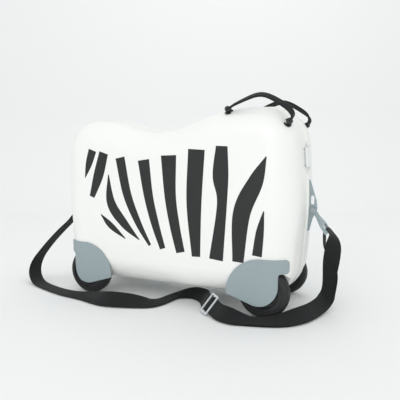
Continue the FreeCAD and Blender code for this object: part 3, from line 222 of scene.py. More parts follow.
@dataclass
class Finisher:
    """Builds each finish once and hands out its material."""

    drift_mm: float = 45.0
    drift_gloss: float = 0.05
    drift_detail: float = 2.0
    grain_detail: float = 3.0
    edge_samples: int = 4
    # An edge counts as rubbed where the softened normal leaves the flat one: cosines where that starts and is full
    worn_start: float = 0.98
    worn_full: float = 0.8
    worn_share: float = 1.2
    rib_wander: float = 0.5
    rib_wander_scale: float = 3.0
    threads_in_rib: float = 1.6
    cloth_bump: float = 0.8
    cloth_gloss: float = 0.3
    cloth_sheen: float = 0.06
    cloth_sheen_roughness: float = 0.6
    paper_gloss: float = 0.1
    paper_bump: float = 0.3
    made: dict[str, bpy.types.Material] = field(default_factory=dict)

    def material(self, finish: Finish) -> bpy.types.Material:
        """The material of a finish, built on first use.

        Args:
            finish: The finish to build.

        Returns:
            The material.
        """
        if finish.name not in self.made:
            material = bpy.data.materials.new(finish.name)
            material.use_nodes = True
            shader = material.node_tree.nodes["Principled BSDF"]
            shader.inputs["Base Color"].default_value = linear(finish.colour)
            shader.inputs["Roughness"].default_value = finish.roughness
            shader.inputs["IOR"].default_value = finish.ior
            builders = {
                Surface.MOULDED: self.mould, Surface.RUBBER: self.rub, Surface.WEBBING: self.weave,
                Surface.STEEL: self.plate, Surface.BACKDROP: self.lay_paper,
            }
            builders[finish.surface](material.node_tree, shader, finish)
            self.made[finish.name] = material
        return self.made[finish.name]

    @staticmethod
    def blend_colours(tree: bpy.types.NodeTree, shader: bpy.types.Node, finish: Finish,
                      share: bpy.types.NodeSocket) -> None:
        """Mix the finish's second colour into its main one: paler rubbed wear on edges, and on webbing a painted
        highlight on the rib crowns.

        Args:
            tree: The material's tree.
            shader: Its shader.
            finish: The finish.
            share: How much of the second colour shows: wear, and on webbing painted highlight.
        """
        ramp = add_node(tree, "ShaderNodeValToRGB", {"Fac": share})
        ramp.color_ramp.elements[0].color = linear(finish.colour)
        ramp.color_ramp.elements[1].color = linear(finish.rubbed)
        tree.links.new(ramp.outputs["Color"], shader.inputs["Base Color"])

    def grain(self, tree: bpy.types.NodeTree, shader: bpy.types.Node, finish: Finish) -> bpy.types.NodeSocket:
        """Fine grain of its real size on softened edges, and how rubbed each place is.

        Args:
            tree: The material's tree.
            shader: Its shader.
            finish: The finish.

        Returns:
            The rubbed share: high along the edges, broken up by the grain.
        """
        place = add_node(tree, "ShaderNodeTexCoord")
        noise = add_node(tree, "ShaderNodeTexNoise", {
            "Vector": place.outputs["Object"], "Scale": 1 / (finish.grain_mm * MM), "Detail": self.grain_detail,
        })
        soft = add_node(tree, "ShaderNodeBevel", {"Radius": finish.edge_mm * MM}, samples=self.edge_samples)
        bump = add_node(tree, "ShaderNodeBump", {
            "Strength": 1.0, "Distance": finish.depth_mm * MM, "Height": noise.outputs["Fac"],
            "Normal": soft.outputs["Normal"],
        })
        tree.links.new(bump.outputs["Normal"], shader.inputs["Normal"])
        flat = add_node(tree, "ShaderNodeNewGeometry")
        bent = add_node(tree, "ShaderNodeVectorMath", {
            0: soft.outputs["Normal"], 1: flat.outputs["Normal"],
        }, operation="DOT_PRODUCT")
        worn = add_node(tree, "ShaderNodeMapRange", {
            "Value": bent.outputs["Value"], "From Min": self.worn_start, "From Max": self.worn_full,
            "To Max": self.worn_share,
        })
        broken = add_node(tree, "ShaderNodeMath", {
            0: worn.outputs["Result"], 1: noise.outputs["Fac"],
        }, operation="MULTIPLY")
        return broken.outputs["Value"]

    def mould(self, tree: bpy.types.NodeTree, shader: bpy.types.Node, finish: Finish) -> None:
        """Moulded plastic: fine grain, rubbed edges and a slow drift of gloss.

        Args:
            tree: The material's tree.
            shader: Its shader.
            finish: The finish.
        """
        self.blend_colours(tree, shader, finish, self.grain(tree, shader, finish))
        place = add_node(tree, "ShaderNodeTexCoord")
        drift = add_node(tree, "ShaderNodeTexNoise", {
            "Vector": place.outputs["Object"], "Scale": 1 / (self.drift_mm * MM),
            "Detail": self.drift_detail,
        })
        gloss = add_node(tree, "ShaderNodeMapRange", {
            "Value": drift.outputs["Fac"], "To Min": finish.roughness - self.drift_gloss,
            "To Max": finish.roughness + self.drift_gloss,
        })
        tree.links.new(gloss.outputs["Result"], shader.inputs["Roughness"])

    def rub(self, tree: bpy.types.NodeTree, shader: bpy.types.Node, finish: Finish) -> None:
        """Rubber and thread: grain, with a dusty bloom on the edges.

        Args:
            tree: The material's tree.
            shader: Its shader.
            finish: The finish.
        """
        self.blend_colours(tree, shader, finish, self.grain(tree, shader, finish))

    def weave(self, tree: bpy.types.NodeTree, shader: bpy.types.Node, finish: Finish) -> None:
        """Woven webbing: ribs across and threads along, in the metres of its UV map, with a painted highlight on
        the rib crowns.

        Args:
            tree: The material's tree.
            shader: Its shader.
            finish: The finish.
        """
        place = add_node(tree, "ShaderNodeUVMap", uv_map=CLOTH_MAP)
        scale = math.tau / (WAVE_TURNS * finish.grain_mm * MM)
        ribs, threads = (
            add_node(tree, "ShaderNodeTexWave", {
                "Vector": place.outputs["UV"], "Scale": scale * finer, "Distortion": self.rib_wander,
                "Detail Scale": self.rib_wander_scale,
            }, bands_direction=way)
            for way, finer in (("Y", 1.0), ("X", self.threads_in_rib))
        )
        cloth = add_node(tree, "ShaderNodeMath", {
            0: ribs.outputs["Fac"], 1: threads.outputs["Fac"],
        }, operation="MULTIPLY")
        bump = add_node(tree, "ShaderNodeBump", {
            "Strength": self.cloth_bump, "Distance": finish.depth_mm * MM, "Height": cloth.outputs["Value"],
        })
        tree.links.new(bump.outputs["Normal"], shader.inputs["Normal"])
        # Painted highlight: the rib crowns take the paler second colour
        self.blend_colours(tree, shader, finish, cloth.outputs["Value"])
        shader.inputs["Specular IOR Level"].default_value = self.cloth_gloss
        shader.inputs["Sheen Weight"].default_value = self.cloth_sheen
        shader.inputs["Sheen Roughness"].default_value = self.cloth_sheen_roughness

    def plate(self, tree: bpy.types.NodeTree, shader: bpy.types.Node, finish: Finish) -> None:
        """Plated steel: metallic, with turning marks and bright edges.

        Args:
            tree: The material's tree.
            shader: Its shader.
            finish: The finish.
        """
        shader.inputs["Metallic"].default_value = 1.0
        self.blend_colours(tree, shader, finish, self.grain(tree, shader, finish))

    def lay_paper(self, tree: bpy.types.NodeTree, shader: bpy.types.Node, finish: Finish) -> None:
        """Studio paper: matt, with a faint tooth.

        Args:
            tree: The material's tree.
            shader: Its shader.
            finish: The finish.
        """
        shader.inputs["Specular IOR Level"].default_value = self.paper_gloss
        place = add_node(tree, "ShaderNodeTexCoord")
        tooth = add_node(tree, "ShaderNodeTexNoise", {
            "Vector": place.outputs["Object"], "Scale": 1 / (finish.grain_mm * MM),
        })
        bump = add_node(tree, "ShaderNodeBump", {
            "Strength": self.paper_bump, "Distance": finish.depth_mm * MM, "Height": tooth.outputs["Fac"],
        })
        tree.links.new(bump.outputs["Normal"], shader.inputs["Normal"])


def linked(name: str, mesh: bpy.types.Mesh) -> bpy.types.Object:
    """Put a mesh into the scene as an object.

    Args:
        name: The object's name.
        mesh: Its mesh.

    Returns:
        The object.
    """
    item = bpy.data.objects.new(name, mesh)
    bpy.context.scene.collection.objects.link(item)
    return item


def turned(name: str, profile: list[tuple[float, float]], middle: Vector,
           material: bpy.types.Material, steps: int = 48) -> bpy.types.Object:
    """A closed piece turned about a line along Y.

    Args:
        name: The piece's name.
        profile: Its section as radii and places along the line, in millimetres, closed on the line or on itself.
        middle: The place on the line that the section is measured from, in metres.
        material: Its material.
        steps: Faces round the piece.

    Returns:
        The piece's object.
    """
    shape = bmesh.new()
    ring = [shape.verts.new((radius * MM, along * MM, 0)) for radius, along in profile]
    loop = [shape.edges.new(pair) for pair in zip(ring, ring[1:])]
    if profile[0][0]:
        loop.append(shape.edges.new((ring[-1], ring[0])))
    bmesh.ops.spin(shape, geom=ring + loop, cent=(0, 0, 0), axis=(0, 1, 0), angle=math.tau, steps=steps)
    bmesh.ops.remove_doubles(shape, verts=shape.verts, dist=MERGE)
    bmesh.ops.recalc_face_normals(shape, faces=shape.faces)
    bmesh.ops.translate(shape, verts=shape.verts, vec=middle)
    for face in shape.faces:
        face.smooth = True
    mesh = bpy.data.meshes.new(name)
    shape.to_mesh(mesh)
    shape.free()
    mesh.set_sharp_from_angle(angle=SHARP)
    mesh.materials.append(material)
    return linked(name, mesh)


def spline_points(points: list[Vector], steps: int) -> list[Vector]:
    """Points along a smooth spline that has the given points as its control points.

    Args:
        points: Control points, in metres.
        steps: Points to sample for each control point.

    Returns:
        The sampled points, in order.
    """
    curve = bpy.data.curves.new("route", "CURVE")
    curve.dimensions = "3D"
    spline = curve.splines.new("NURBS")
    spline.points.add(len(points) - 1)
    for control, point in zip(spline.points, points):
        control.co = (*point, 1.0)
    spline.order_u = 3
    spline.use_endpoint_u = True
    spline.resolution_u = steps
    holder = bpy.data.objects.new("route", curve)
    bpy.context.scene.collection.objects.link(holder)
    bpy.context.view_layer.update()
    mesh = bpy.data.meshes.new_from_object(holder.evaluated_get(bpy.context.evaluated_depsgraph_get()))
    found = [vertex.co.copy() for vertex in mesh.vertices]
    bpy.data.objects.remove(holder)
    bpy.data.curves.remove(curve)
    bpy.data.meshes.remove(mesh)
    return found


@dataclass
class Ribbon:
    """Flat webbing along a route of middle points and width directions, in millimetres."""

    name: str
    route: Route
    width_mm: float
    thickness_mm: float
    finish: Finish
    steps: int = 8
    columns: tuple[float, ...] = (-1.0, -0.6, -0.2, 0.2, 0.6, 1.0)
    edge_in: float = 0.3
    edge_up: float = 0.7
    middle: list[Vector] = field(default_factory=list)
    across: list[Vector] = field(default_factory=list)
    up: list[Vector] = field(default_factory=list)

    def follow(self) -> None:
        """Sample the middle line and the webbing's directions along it."""
        spots = [Vector(spot) * MM for spot, _ in self.route]
        arm = self.width_mm * MM / 2
        edges = [spot + Vector(way).normalized() * arm for spot, (_, way) in zip(spots, self.route)]
        self.middle = spline_points(spots, self.steps)
        edge = spline_points(edges, self.steps)
        last = len(self.middle) - 1
        for i, (spot, side) in enumerate(zip(self.middle, edge)):
            way = (self.middle[min(i + 1, last)] - self.middle[max(i - 1, 0)]).normalized()
            across = side - spot
            across = (across - way * across.dot(way)).normalized()
            self.across.append(across)
            self.up.append(way.cross(across))

    def profile(self) -> list[tuple[float, float]]:
        """The webbing's cross-section, as places across and up, in metres.

        Returns:
            The corners, in order round the section.
        """
        half, rise = self.width_mm * MM / 2, self.thickness_mm * MM / 2
        top = [(share * (half - rise), rise) for share in self.columns]
        inner, upper = half - rise * self.edge_in, rise * self.edge_up
        under = [(reach, -lift) for reach, lift in reversed(top)]
        return [*top, (inner, upper), (half, 0.0), (inner, -upper), *under, (-inner, -upper), (-half, 0.0),
                (-inner, upper)]

    def build(self, finisher: Finisher) -> bpy.types.Object:
        """Make the ribbon's mesh, with a UV map in metres.

        Args:
            finisher: Hands out the material.

        Returns:
            The ribbon's object.
        """
        self.follow()
        section = self.profile()
        count = len(section)
        vertices = [
            spot + across * reach + up * lift
            for spot, across, up in zip(self.middle, self.across, self.up)
            for reach, lift in section
        ]
        faces, cloth = [], []
        along = 0.0
        for ring in range(len(self.middle) - 1):
            further = along + (self.middle[ring + 1] - self.middle[ring]).length
            for i in range(count):
                j = (i + 1) % count
                faces.append((ring * count + i, ring * count + j, (ring + 1) * count + j, (ring + 1) * count + i))
                cloth += [(section[i][0], along), (section[j][0], along), (section[j][0], further),
                          (section[i][0], further)]
            along = further
        last = (len(self.middle) - 1) * count
        faces += [tuple(reversed(range(count))), tuple(range(last, last + count))]
        cloth += [(reach, 0.0) for reach, _ in reversed(section)]
        cloth += [(reach, along) for reach, _ in section]
        mesh = bpy.data.meshes.new(self.name)
        mesh.from_pydata(vertices, [], faces)
        layer = mesh.uv_layers.new(name=CLOTH_MAP)
        for loop, place in zip(layer.data, cloth):
            loop.uv = place
        mesh.polygons.foreach_set("use_smooth", [True] * (len(faces) - 2) + [False] * 2)
        mesh.materials.append(finisher.material(self.finish))
        shape = bmesh.new()
        shape.from_mesh(mesh)
        bmesh.ops.recalc_face_normals(shape, faces=shape.faces)
        shape.to_mesh(mesh)
        shape.free()
        return linked(self.name, mesh)

    def length(self) -> float:
        """The middle line's length.

        Returns:
            The length, in metres.
        """
        return sum((b - a).length for a, b in zip(self.middle, self.middle[1:]))

    def line_on(self, start: float, end: float, across_mm: float, lift_mm: float) -> list[Vector]:
        """A line on the webbing's face.

        Args:
            start: Where it starts, as a share of the length's samples.
            end: Where it ends, likewise.
            across_mm: How far it lies from the middle.
            lift_mm: How far it stands off the middle of the thickness.

        Returns:
            Its points, in metres.
        """
        last = len(self.middle) - 1
        return [
            self.middle[i] + self.across[i] * (across_mm * MM) + self.up[i] * (lift_mm * MM)
            for i in range(round(start * last), round(end * last) + 1)
        ]


@dataclass(frozen=True)
class Sewing:
    """Sizes of a row of stitches: from one to the next, the length of one and the thread's radius."""

    pitch_mm: float
    stitch_mm: float
    thread_mm: float


@dataclass
class StitchRows:
    """Rows of sewing, set along lines by a node group."""

    thread: bpy.types.Material
    thread_sides: int = 6
    group: bpy.types.NodeTree = field(init=False)
    keys: dict[str, str] = field(init=False)

    def __post_init__(self) -> None:
        """Build the node group."""
        self.group, self.keys = self.node_group()

    def node_group(self) -> tuple[bpy.types.NodeTree, dict[str, str]]:
        """The node group that sets stitches along the lines of a mesh.

        Returns:
            The group, and its input identifiers by name.
        """
        group = bpy.data.node_groups.new("stitch_rows", "GeometryNodeTree")
        face = group.interface
        face.new_socket("Geometry", in_out="INPUT", socket_type="NodeSocketGeometry")
        keys = {}
        for name, kind in (("Pitch", "NodeSocketFloat"), ("Stitch", "NodeSocketFloat"),
                           ("Thread", "NodeSocketFloat"), ("Finish", "NodeSocketMaterial")):
            keys[name] = face.new_socket(name, in_out="INPUT", socket_type=kind).identifier
        face.new_socket("Geometry", in_out="OUTPUT", socket_type="NodeSocketGeometry")
        given = add_node(group, "NodeGroupInput")
        curve = add_node(group, "GeometryNodeMeshToCurve", {"Mesh": given.outputs["Geometry"]})
        spots = add_node(group, "GeometryNodeResampleCurve", {
            "Curve": curve.outputs["Curve"], "Length": given.outputs["Pitch"],
        }, mode="LENGTH")
        stitch = add_node(group, "GeometryNodeMeshCylinder", {
            "Vertices": self.thread_sides, "Radius": given.outputs["Thread"], "Depth": given.outputs["Stitch"],
        })
        tangent = add_node(group, "GeometryNodeInputTangent")
        turn = add_node(group, "FunctionNodeAlignRotationToVector", {
            "Vector": tangent.outputs["Tangent"],
        }, axis="Z")
        copies = add_node(group, "GeometryNodeInstanceOnPoints", {
            "Points": spots.outputs["Curve"], "Instance": stitch.outputs["Mesh"],
            "Rotation": turn.outputs["Rotation"],
        })
        real = add_node(group, "GeometryNodeRealizeInstances", {"Geometry": copies.outputs["Instances"]})
        dyed = add_node(group, "GeometryNodeSetMaterial", {
            "Geometry": real.outputs["Geometry"], "Material": given.outputs["Finish"],
        })
        add_node(group, "NodeGroupOutput", {"Geometry": dyed.outputs["Geometry"]})
        return group, keys

    def sew(self, name: str, lines: list[list[Vector]], sewing: Sewing) -> bpy.types.Object:
        """Sew along lines.

        Args:
            name: The name of the stitches' object.
            lines: Points of each line, in metres.
            sewing: The sizes of the stitches.

        Returns:
            The stitches, as a plain mesh object.
        """
        vertices, edges = [], []
        for line in lines:
            start = len(vertices)
            vertices += line
            edges += [(start + i, start + i + 1) for i in range(len(line) - 1)]
        guide_mesh = bpy.data.meshes.new(f"{name}_guide")
        guide_mesh.from_pydata(vertices, edges, [])
        guide = linked(f"{name}_guide", guide_mesh)
        modifier = guide.modifiers.new("stitches", "NODES")
        modifier.node_group = self.group
        for key, value in (("Pitch", sewing.pitch_mm * MM), ("Stitch", sewing.stitch_mm * MM),
                           ("Thread", sewing.thread_mm * MM), ("Finish", self.thread)):
            modifier[self.keys[key]] = value
        bpy.context.view_layer.update()
        mesh = bpy.data.meshes.new_from_object(guide.evaluated_get(bpy.context.evaluated_depsgraph_get()))
        guide.modifiers.remove(modifier)
        bpy.data.objects.remove(guide)
        bpy.data.meshes.remove(guide_mesh)
        mesh.name = name
        mesh.materials.clear()
        mesh.materials.append(self.thread)
        mesh.polygons.foreach_set("material_index", [0] * len(mesh.polygons))
        mesh.polygons.foreach_set("use_smooth", [True] * len(mesh.polygons))
        return linked(name, mesh)


@dataclass(frozen=True)
class LinkEnd:
    """Where the strap hangs on a link: the CAD strand and link, the bend between them and the point on the link."""

    node: str
    link: str
    bend_start: Point
    bend_end: Point
    leave: Point


@dataclass
class ShoulderStrap:
    """The webbing strap: doubled between the slider and the front link, single from there to the rear link."""

    width_mm: float = 30.0
    thickness_mm: float = 1.5
    slider_place: Point = (93.0, -104.2, 19.5)
    slider_across: Point = (0.48, 0.42, 0.77)
    slider_along: Point = (0.81, -0.56, 0.0)
    outer_length: float = 0.41
    inner_length: float = 0.415
    rear_length: float = 0.785
    front: LinkEnd = LinkEnd(
        "strap_front", "front_link", (284.5, 2.3, 55.0), (284.5, 2.3, 150.0), (286.0, 2.3, 155.8))
    rear: LinkEnd = LinkEnd(
        "strap_rear", "rear_link", (-284.5, 2.3, 40.0), (-284.5, 2.3, 147.0), (-290.0, 2.3, 147.0))
    # The loop on the rear link is sewn shut between these shares of the strand
    sewn_shares: tuple[float, float] = (0.791, 0.8223)
    sewn_inset_mm: float = 3.0
    sewn_lift_mm: float = 0.05
    sewing: Sewing = Sewing(2.6, 1.9, 0.3)

    def beside_slider(self, spots: list[tuple[float, float]]) -> Route:
        """Route points in the slider's own directions.

        Args:
            spots: Each point's reach along the strap and its lay off the slider's middle, in millimetres.

        Returns:
            The route's points.
        """
        across = Vector(self.slider_across).normalized()
        along = Vector(self.slider_along)
        along = (along - across * along.dot(across)).normalized()
        face = across.cross(along)
        place = Vector(self.slider_place)
        return [(tuple(place + along * reach + face * lay), tuple(across)) for reach, lay in spots]

    def outer_strand(self) -> Route:
        """The strand that comes out from under the slider's front bar and rises outside the link's bar.

        Returns:
            Its route, from the slider to the top of the link's bar.
        """
        return self.beside_slider([(0, -2.1), (3.2, -2.1), (6.2, 2.2), (12, 2.3), (20, 2.0)]) + [
            ((118.9, -124.8, 14.9), (0.25, 0.53, 0.81)), ((133, -132.2, 15.3), (0.17, 0.52, 0.84)),
            ((147.5, -131.9, 13.5), (-0.04, 0.72, 0.69)), ((162.1, -124.7, 9), (-0.2, 0.91, 0.36)),
            ((178.5, -119.8, 5.4), (-0.24, 0.97, 0.1)), ((208.7, -111.7, 6.6), (-0.36, 0.91, 0.19)),
            ((231.8, -102.9, 10.1), (-0.52, 0.73, 0.44)), ((251.7, -87.6, 14.2), (-0.51, 0.43, 0.74)),
            ((265.2, -68.2, 15.2), (-0.5, 0.24, 0.83)), ((274.8, -40.6, 15.2), (-0.55, 0.12, 0.83)),
            ((283.9, -16, 19.3), (-0.62, 0.08, 0.78)), ((287.5, -0.2, 26.9), (-0.75, 0.42, 0.5)),
            ((289.7, 5.7, 40.3), (-0.84, 0.53, 0.12)), ((290, 6.5, 60), (-0.84, 0.54, 0)),
            ((292.5, -0.5, 83), (-0.95, 0.3, 0)), ((295.5, -5.5, 104), (-0.99, -0.1, 0)),
            ((297.5, -4.5, 124), (-0.9, -0.43, 0)), ((297, 0, 139), (-0.5, -0.87, 0)),
            ((293.6, 2.3, 146.2), (-0.1, -0.99, 0)), ((287.47, 2.3, 155.28), (0, -1, 0)),
            ((286.04, 2.3, 155.78), (0, -1, 0)),
        ]

    def inner_strand(self) -> Route:
        """The strand that falls inside the link's bar and ends sewn behind the slider.

        Returns:
            Its route, from the top of the link's bar to the slider.
        """
        return [
            ((286.04, 2.3, 155.78), (0, 1, 0)), ((284.61, 2.3, 156.29), (0, 1, 0)),
            ((281.7, 2.3, 155.41), (0, 1, 0)), ((279.9, 2.3, 152.97), (0, 1, 0)),
            ((279.9, 2.3, 140), (0, 1, 0)), ((280.5, 6.5, 124), (0, 1, 0)),
            ((285, 12, 103), (-0.35, 0.94, 0)), ((294, 12, 82), (-0.7, 0.71, 0)),
            ((294.3, 10.5, 62), (-0.84, 0.54, 0)),
            ((291.3, 8.3, 39.7), (-0.84, 0.53, 0.12)), ((287.5, 2.2, 25.1), (-0.75, 0.42, 0.5)),
            ((282.1, -15, 17.7), (-0.62, 0.08, 0.78)), ((272.8, -40.2, 13.8), (-0.55, 0.12, 0.83)),
            ((263.4, -67.4, 13.8), (-0.5, 0.24, 0.83)), ((250.4, -86.5, 12.5), (-0.51, 0.43, 0.74)),
            ((231.2, -102, 8), (-0.52, 0.73, 0.44)), ((208.6, -111.3, 4.3), (-0.36, 0.91, 0.19)),
            ((178.4, -119.5, 3), (-0.24, 0.97, 0.1)), ((161.9, -123.8, 6.8), (-0.2, 0.91, 0.36)),
            ((147.4, -130.2, 11.8), (-0.04, 0.72, 0.69)), ((133.6, -130.3, 14), (0.17, 0.52, 0.84)),
            ((119.7, -123, 13.5), (0.25, 0.53, 0.81)),
        ] + self.beside_slider([(20, 4.6), (12, 4.2), (6, 3.9), (3.2, 2.0), (-1.5, 1.95)])

    def rear_strand(self) -> Route:
        """The single strand, from over the slider's middle bar to its sewn loop on the rear link.

        Returns:
            Its route.
        """
        return self.beside_slider([(0, -2.1), (-3.2, -2.1), (-6.2, 2.2), (-12, 2.3), (-20, 2.0)]) + [
            ((72.7, -75, 14.5), (0.45, 0.34, 0.83)), ((63.5, -55.9, 13.6), (0.43, 0.48, 0.77)),
            ((49.9, -40.5, 12.1), (0.39, 0.63, 0.67)), ((24, -29.6, 10.5), (0, 0.83, 0.56)),
            ((-3.9, -38.8, 3.7), (-0.66, 0.75, 0.1)), ((-13.3, -58.5, 2.1), (-0.95, 0.3, 0)),
            ((-16.2, -79, 2.6), (-0.98, 0.2, 0.03)), ((-21.3, -101.8, 5.2), (-0.89, 0.41, 0.21)),
            ((-30.5, -115.7, 7.2), (-0.56, 0.75, 0.34)), ((-58.9, -131.3, 12.9), (-0.26, 0.65, 0.72)),
            ((-91.2, -146.5, 15.8), (-0.08, 0.4, 0.91)), ((-114, -146.7, 14.2), (0, 0.59, 0.81)),
            ((-139.2, -138.5, 10.7), (0.19, 0.8, 0.57)), ((-169.1, -128, 6.7), (0.19, 0.93, 0.31)),
            ((-198.2, -123.8, 4.4), (0.12, 0.98, 0.16)), ((-224.7, -120.9, 3.4), (0.22, 0.97, 0.09)),
            ((-257.8, -111.9, 2.4), (0.35, 0.94, 0.02)), ((-297, -100, 2.4), (0.33, 0.94, 0)),
            ((-332, -87, 4), (0.25, 0.97, 0)), ((-357, -72, 20), (0.16, 0.99, 0.05)),
            ((-361, -57, 46), (0.1, 0.99, 0.12)), ((-346, -38, 78), (0.06, 0.99, 0.1)),
            ((-326, -15, 110), (0, 1, 0)), ((-308.2, 2.3, 132.4), (0, 1, 0)),
            ((-286.73, 2.3, 155.83), (0, 1, 0)), ((-283.31, 2.3, 156.22), (0, 1, 0)),
            ((-280.48, 2.3, 154.27), (0, 1, 0)), ((-279.62, 2.3, 150.94), (0, 1, 0)),
            ((-281.15, 2.3, 147.86), (0, 1, 0)), ((-292.2, 2.3, 143.3), (0, 1, 0)),
            ((-299.3, 2.3, 138.8), (0, 1, 0)), ((-305.4, 2.3, 132.1), (0, 1, 0)),
        ]

    @staticmethod
    def bend(item: bpy.types.Object, end: LinkEnd) -> None:
        """Bake a piece of webbing's placement into its mesh.

        Args:
            item: The piece.
            end: Not used.
        """
        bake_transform(item)

    def lay(self, ribbon: Ribbon, end: LinkEnd, length: float, finisher: Finisher,
            slider: bpy.types.Object) -> Ribbon:
        """Args:
            ribbon: The strand's webbing.
            end: The end of the strap that it hangs on.
            length: Not used.
            finisher: Hands out the material.
            slider: Not used.

        Returns:
            The webbing, with its middle line sampled.
        """
        item = ribbon.build(finisher)
        LOG.info("%s is %.3f m long", ribbon.name, ribbon.length())
        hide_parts(end.node)
        self.bend(item, end)
        return ribbon

    def build(self, finisher: Finisher, slider: bpy.types.Object) -> Ribbon:
        """Make the strap's three strands.

        Args:
            finisher: Hands out the material.
            slider: The slider's CAD node.

        Returns:
            The rear strand's webbing.
        """
        outer, inner, rear = (
            Ribbon(f"strap_{word}_strand", route, self.width_mm, self.thickness_mm, STRAP)
            for word, route in (("outer", self.outer_strand()), ("inner", self.inner_strand()),
                                ("rear", self.rear_strand()))
        )
        self.lay(outer, self.front, self.outer_length, finisher, slider)
        self.lay(inner, self.front, self.inner_length, finisher, slider)
        return self.lay(rear, self.rear, self.rear_length, finisher, slider)

    def sew(self, rows: StitchRows, ribbon: Ribbon) -> None:
        """Sew the loop on the rear link shut: a box of stitches on each face.

        Args:
            rows: Makes the stitches.
            ribbon: The rear strand's webbing.
        """
        lift = self.thickness_mm / 2 + self.sewn_lift_mm
        reach = self.width_mm / 2 - self.sewn_inset_mm
        lines = [
            ribbon.line_on(*self.sewn_shares, side * reach, face * lift) for side in (-1, 1) for face in (1, -1)
        ]
        for share in self.sewn_shares:
            lines += [
                [ribbon.line_on(share, share, side * reach, face * lift)[0] for side in (-1, 1)] for face in (1, -1)
            ]
        item = rows.sew("strap_rear_stitches", lines, self.sewing)
        self.bend(item, self.rear)


@dataclass
class CarryHandle:
    """A carry handle on the shoulder of the head: a webbing loop with moulded ends."""

    half: Half
    width_mm: float = 12.0
    thickness_mm: float = 4.2
    knob_mm: float = 5.4
    knob_half_mm: float = 5.6
    # The barrel's section from its dished cap to its middle, as shares of its radius and half length
    knob_section: Section = (
        (0.0, 0.86), (0.36, 0.86), (0.44, 0.96), (0.6, 1.0), (0.8, 0.97), (0.93, 0.86), (1.0, 0.62), (1.0, 0.0),
    )
    side_mm: float = 77.12
    sewn_shares: tuple[float, float] = (0.08, 0.92)
    sewn_inset_mm: float = 2.2
    sewn_lift_mm: float = 0.02
    sewing: Sewing = Sewing(2.4, 1.7, 0.22)

    def route(self) -> Route:
        """The loop's route on the right half.

        Returns:
            Its points, from the rear end to the front end.
        """
        side = -self.side_mm
        return [
            ((117.1, side, 373.7), (0, 0.96, 0.28)), ((123, side, 378.6), (0, 0.96, 0.28)),
            ((140, side, 386), (0, 0.9, 0.44)), ((157, side, 392.6), (0, 0.8, 0.6)),
            ((170, side, 396.6), (0, 0.78, 0.63)), ((183, side, 396.4), (0, 0.78, 0.63)),
            ((197, side, 391), (0, 0.74, 0.67)), ((213, side, 381.4), (0.1, 0.68, 0.72)),
            ((226, side, 372.4), (0.25, 0.62, 0.72)), ((233, side, 363.5), (0.3, 0.75, 0.55)),
            ((233.4, side, 356), (0.1, 0.9, 0.4)), ((228.3, side, 350), (0, 0.92, 0.39)),
        ]

    def build(self, finisher: Finisher, rows: StitchRows) -> None:
        """Make the loop, its ends and its sewing.

        Args:
            finisher: Hands out the material.
            rows: Makes the stitches.
        """
        word, sign = self.half.word, -self.half.value
        route = [((x, y * sign, z), (a, b, c * sign)) for (x, y, z), (a, b, c) in self.route()]
        ribbon = Ribbon(f"{word}_handle_webbing", route, self.width_mm, self.thickness_mm, HANDLE)
        item = ribbon.build(finisher)
        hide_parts(f"{word}_handle")
        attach(item, f"{word}_handle_loop")
        for end, spot in (("rear", route[0][0]), ("front", route[-1][0])):
            knob = self.knob(f"{word}_handle_{end}_knob", Vector(spot) * MM, finisher)
            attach(knob, f"{word}_handle_loop")
        reach, lift = self.width_mm / 2 - self.sewn_inset_mm, self.thickness_mm / 2 + self.sewn_lift_mm
        lines = [ribbon.line_on(*self.sewn_shares, side * reach, lift) for side in (-1, 1)]
        stitches = rows.sew(f"{word}_handle_stitches", lines, self.sewing)
        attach(stitches, f"{word}_handle_loop")

    def knob(self, name: str, middle: Vector, finisher: Finisher) -> bpy.types.Object:
        """A moulded barrel end of the loop, with rounded rims and a dished cap on each face.

        Args:
            name: The barrel's name.
            middle: Its middle, in metres.
            finisher: Hands out the material.

        Returns:
            The barrel's object.
        """
        profile = [(reach * self.knob_mm, rise * self.knob_half_mm) for reach, rise in self.knob_section]
        profile += [(reach, -rise) for reach, rise in reversed(profile[:-1])]
        return turned(name, profile, middle, finisher.material(DARK))


@dataclass
class TyreBead:
    """The raised rings moulded on the sides of a tyre."""

    corner: str
    radius_mm: float = 37.0
    half_width_mm: float = 13.0
    bead_mm: float = 0.9
    rise_mm: float = 0.6
    sink_mm: float = 0.2
    # The crown of a ring's section, as shares of its half width and its rise
    crown: Section = ((-0.7, 0.75), (0.0, 1.0), (0.7, 0.75))
    steps: int = 96

    def build(self, finisher: Finisher) -> None:
        """Make the rings and let them turn with the wheel.

        Args:
            finisher: Hands out the material.
        """
        low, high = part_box(f"{self.corner}_tyre")
        crown = [(reach, rise * self.rise_mm) for reach, rise in self.crown]
        arch = [(-1.0, -self.sink_mm), *crown, (1.0, -self.sink_mm)]
        for word, side in (("outer", -1), ("inner", 1)):
            profile = [
                (self.radius_mm + reach * self.bead_mm, side * (self.half_width_mm + rise)) for reach, rise in arch
            ]
            name = f"{self.corner}_tyre_{word}_bead"
            item = turned(name, profile, (low + high) / 2, finisher.material(TYRE), self.steps)
            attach(item, f"{self.corner}_wheel")


@dataclass(frozen=True)
class Stripe:
    """A printed stripe: points of its middle line and its width at each, in millimetres."""

    line: tuple[tuple[float, float], ...]
    widths: tuple[float, ...]


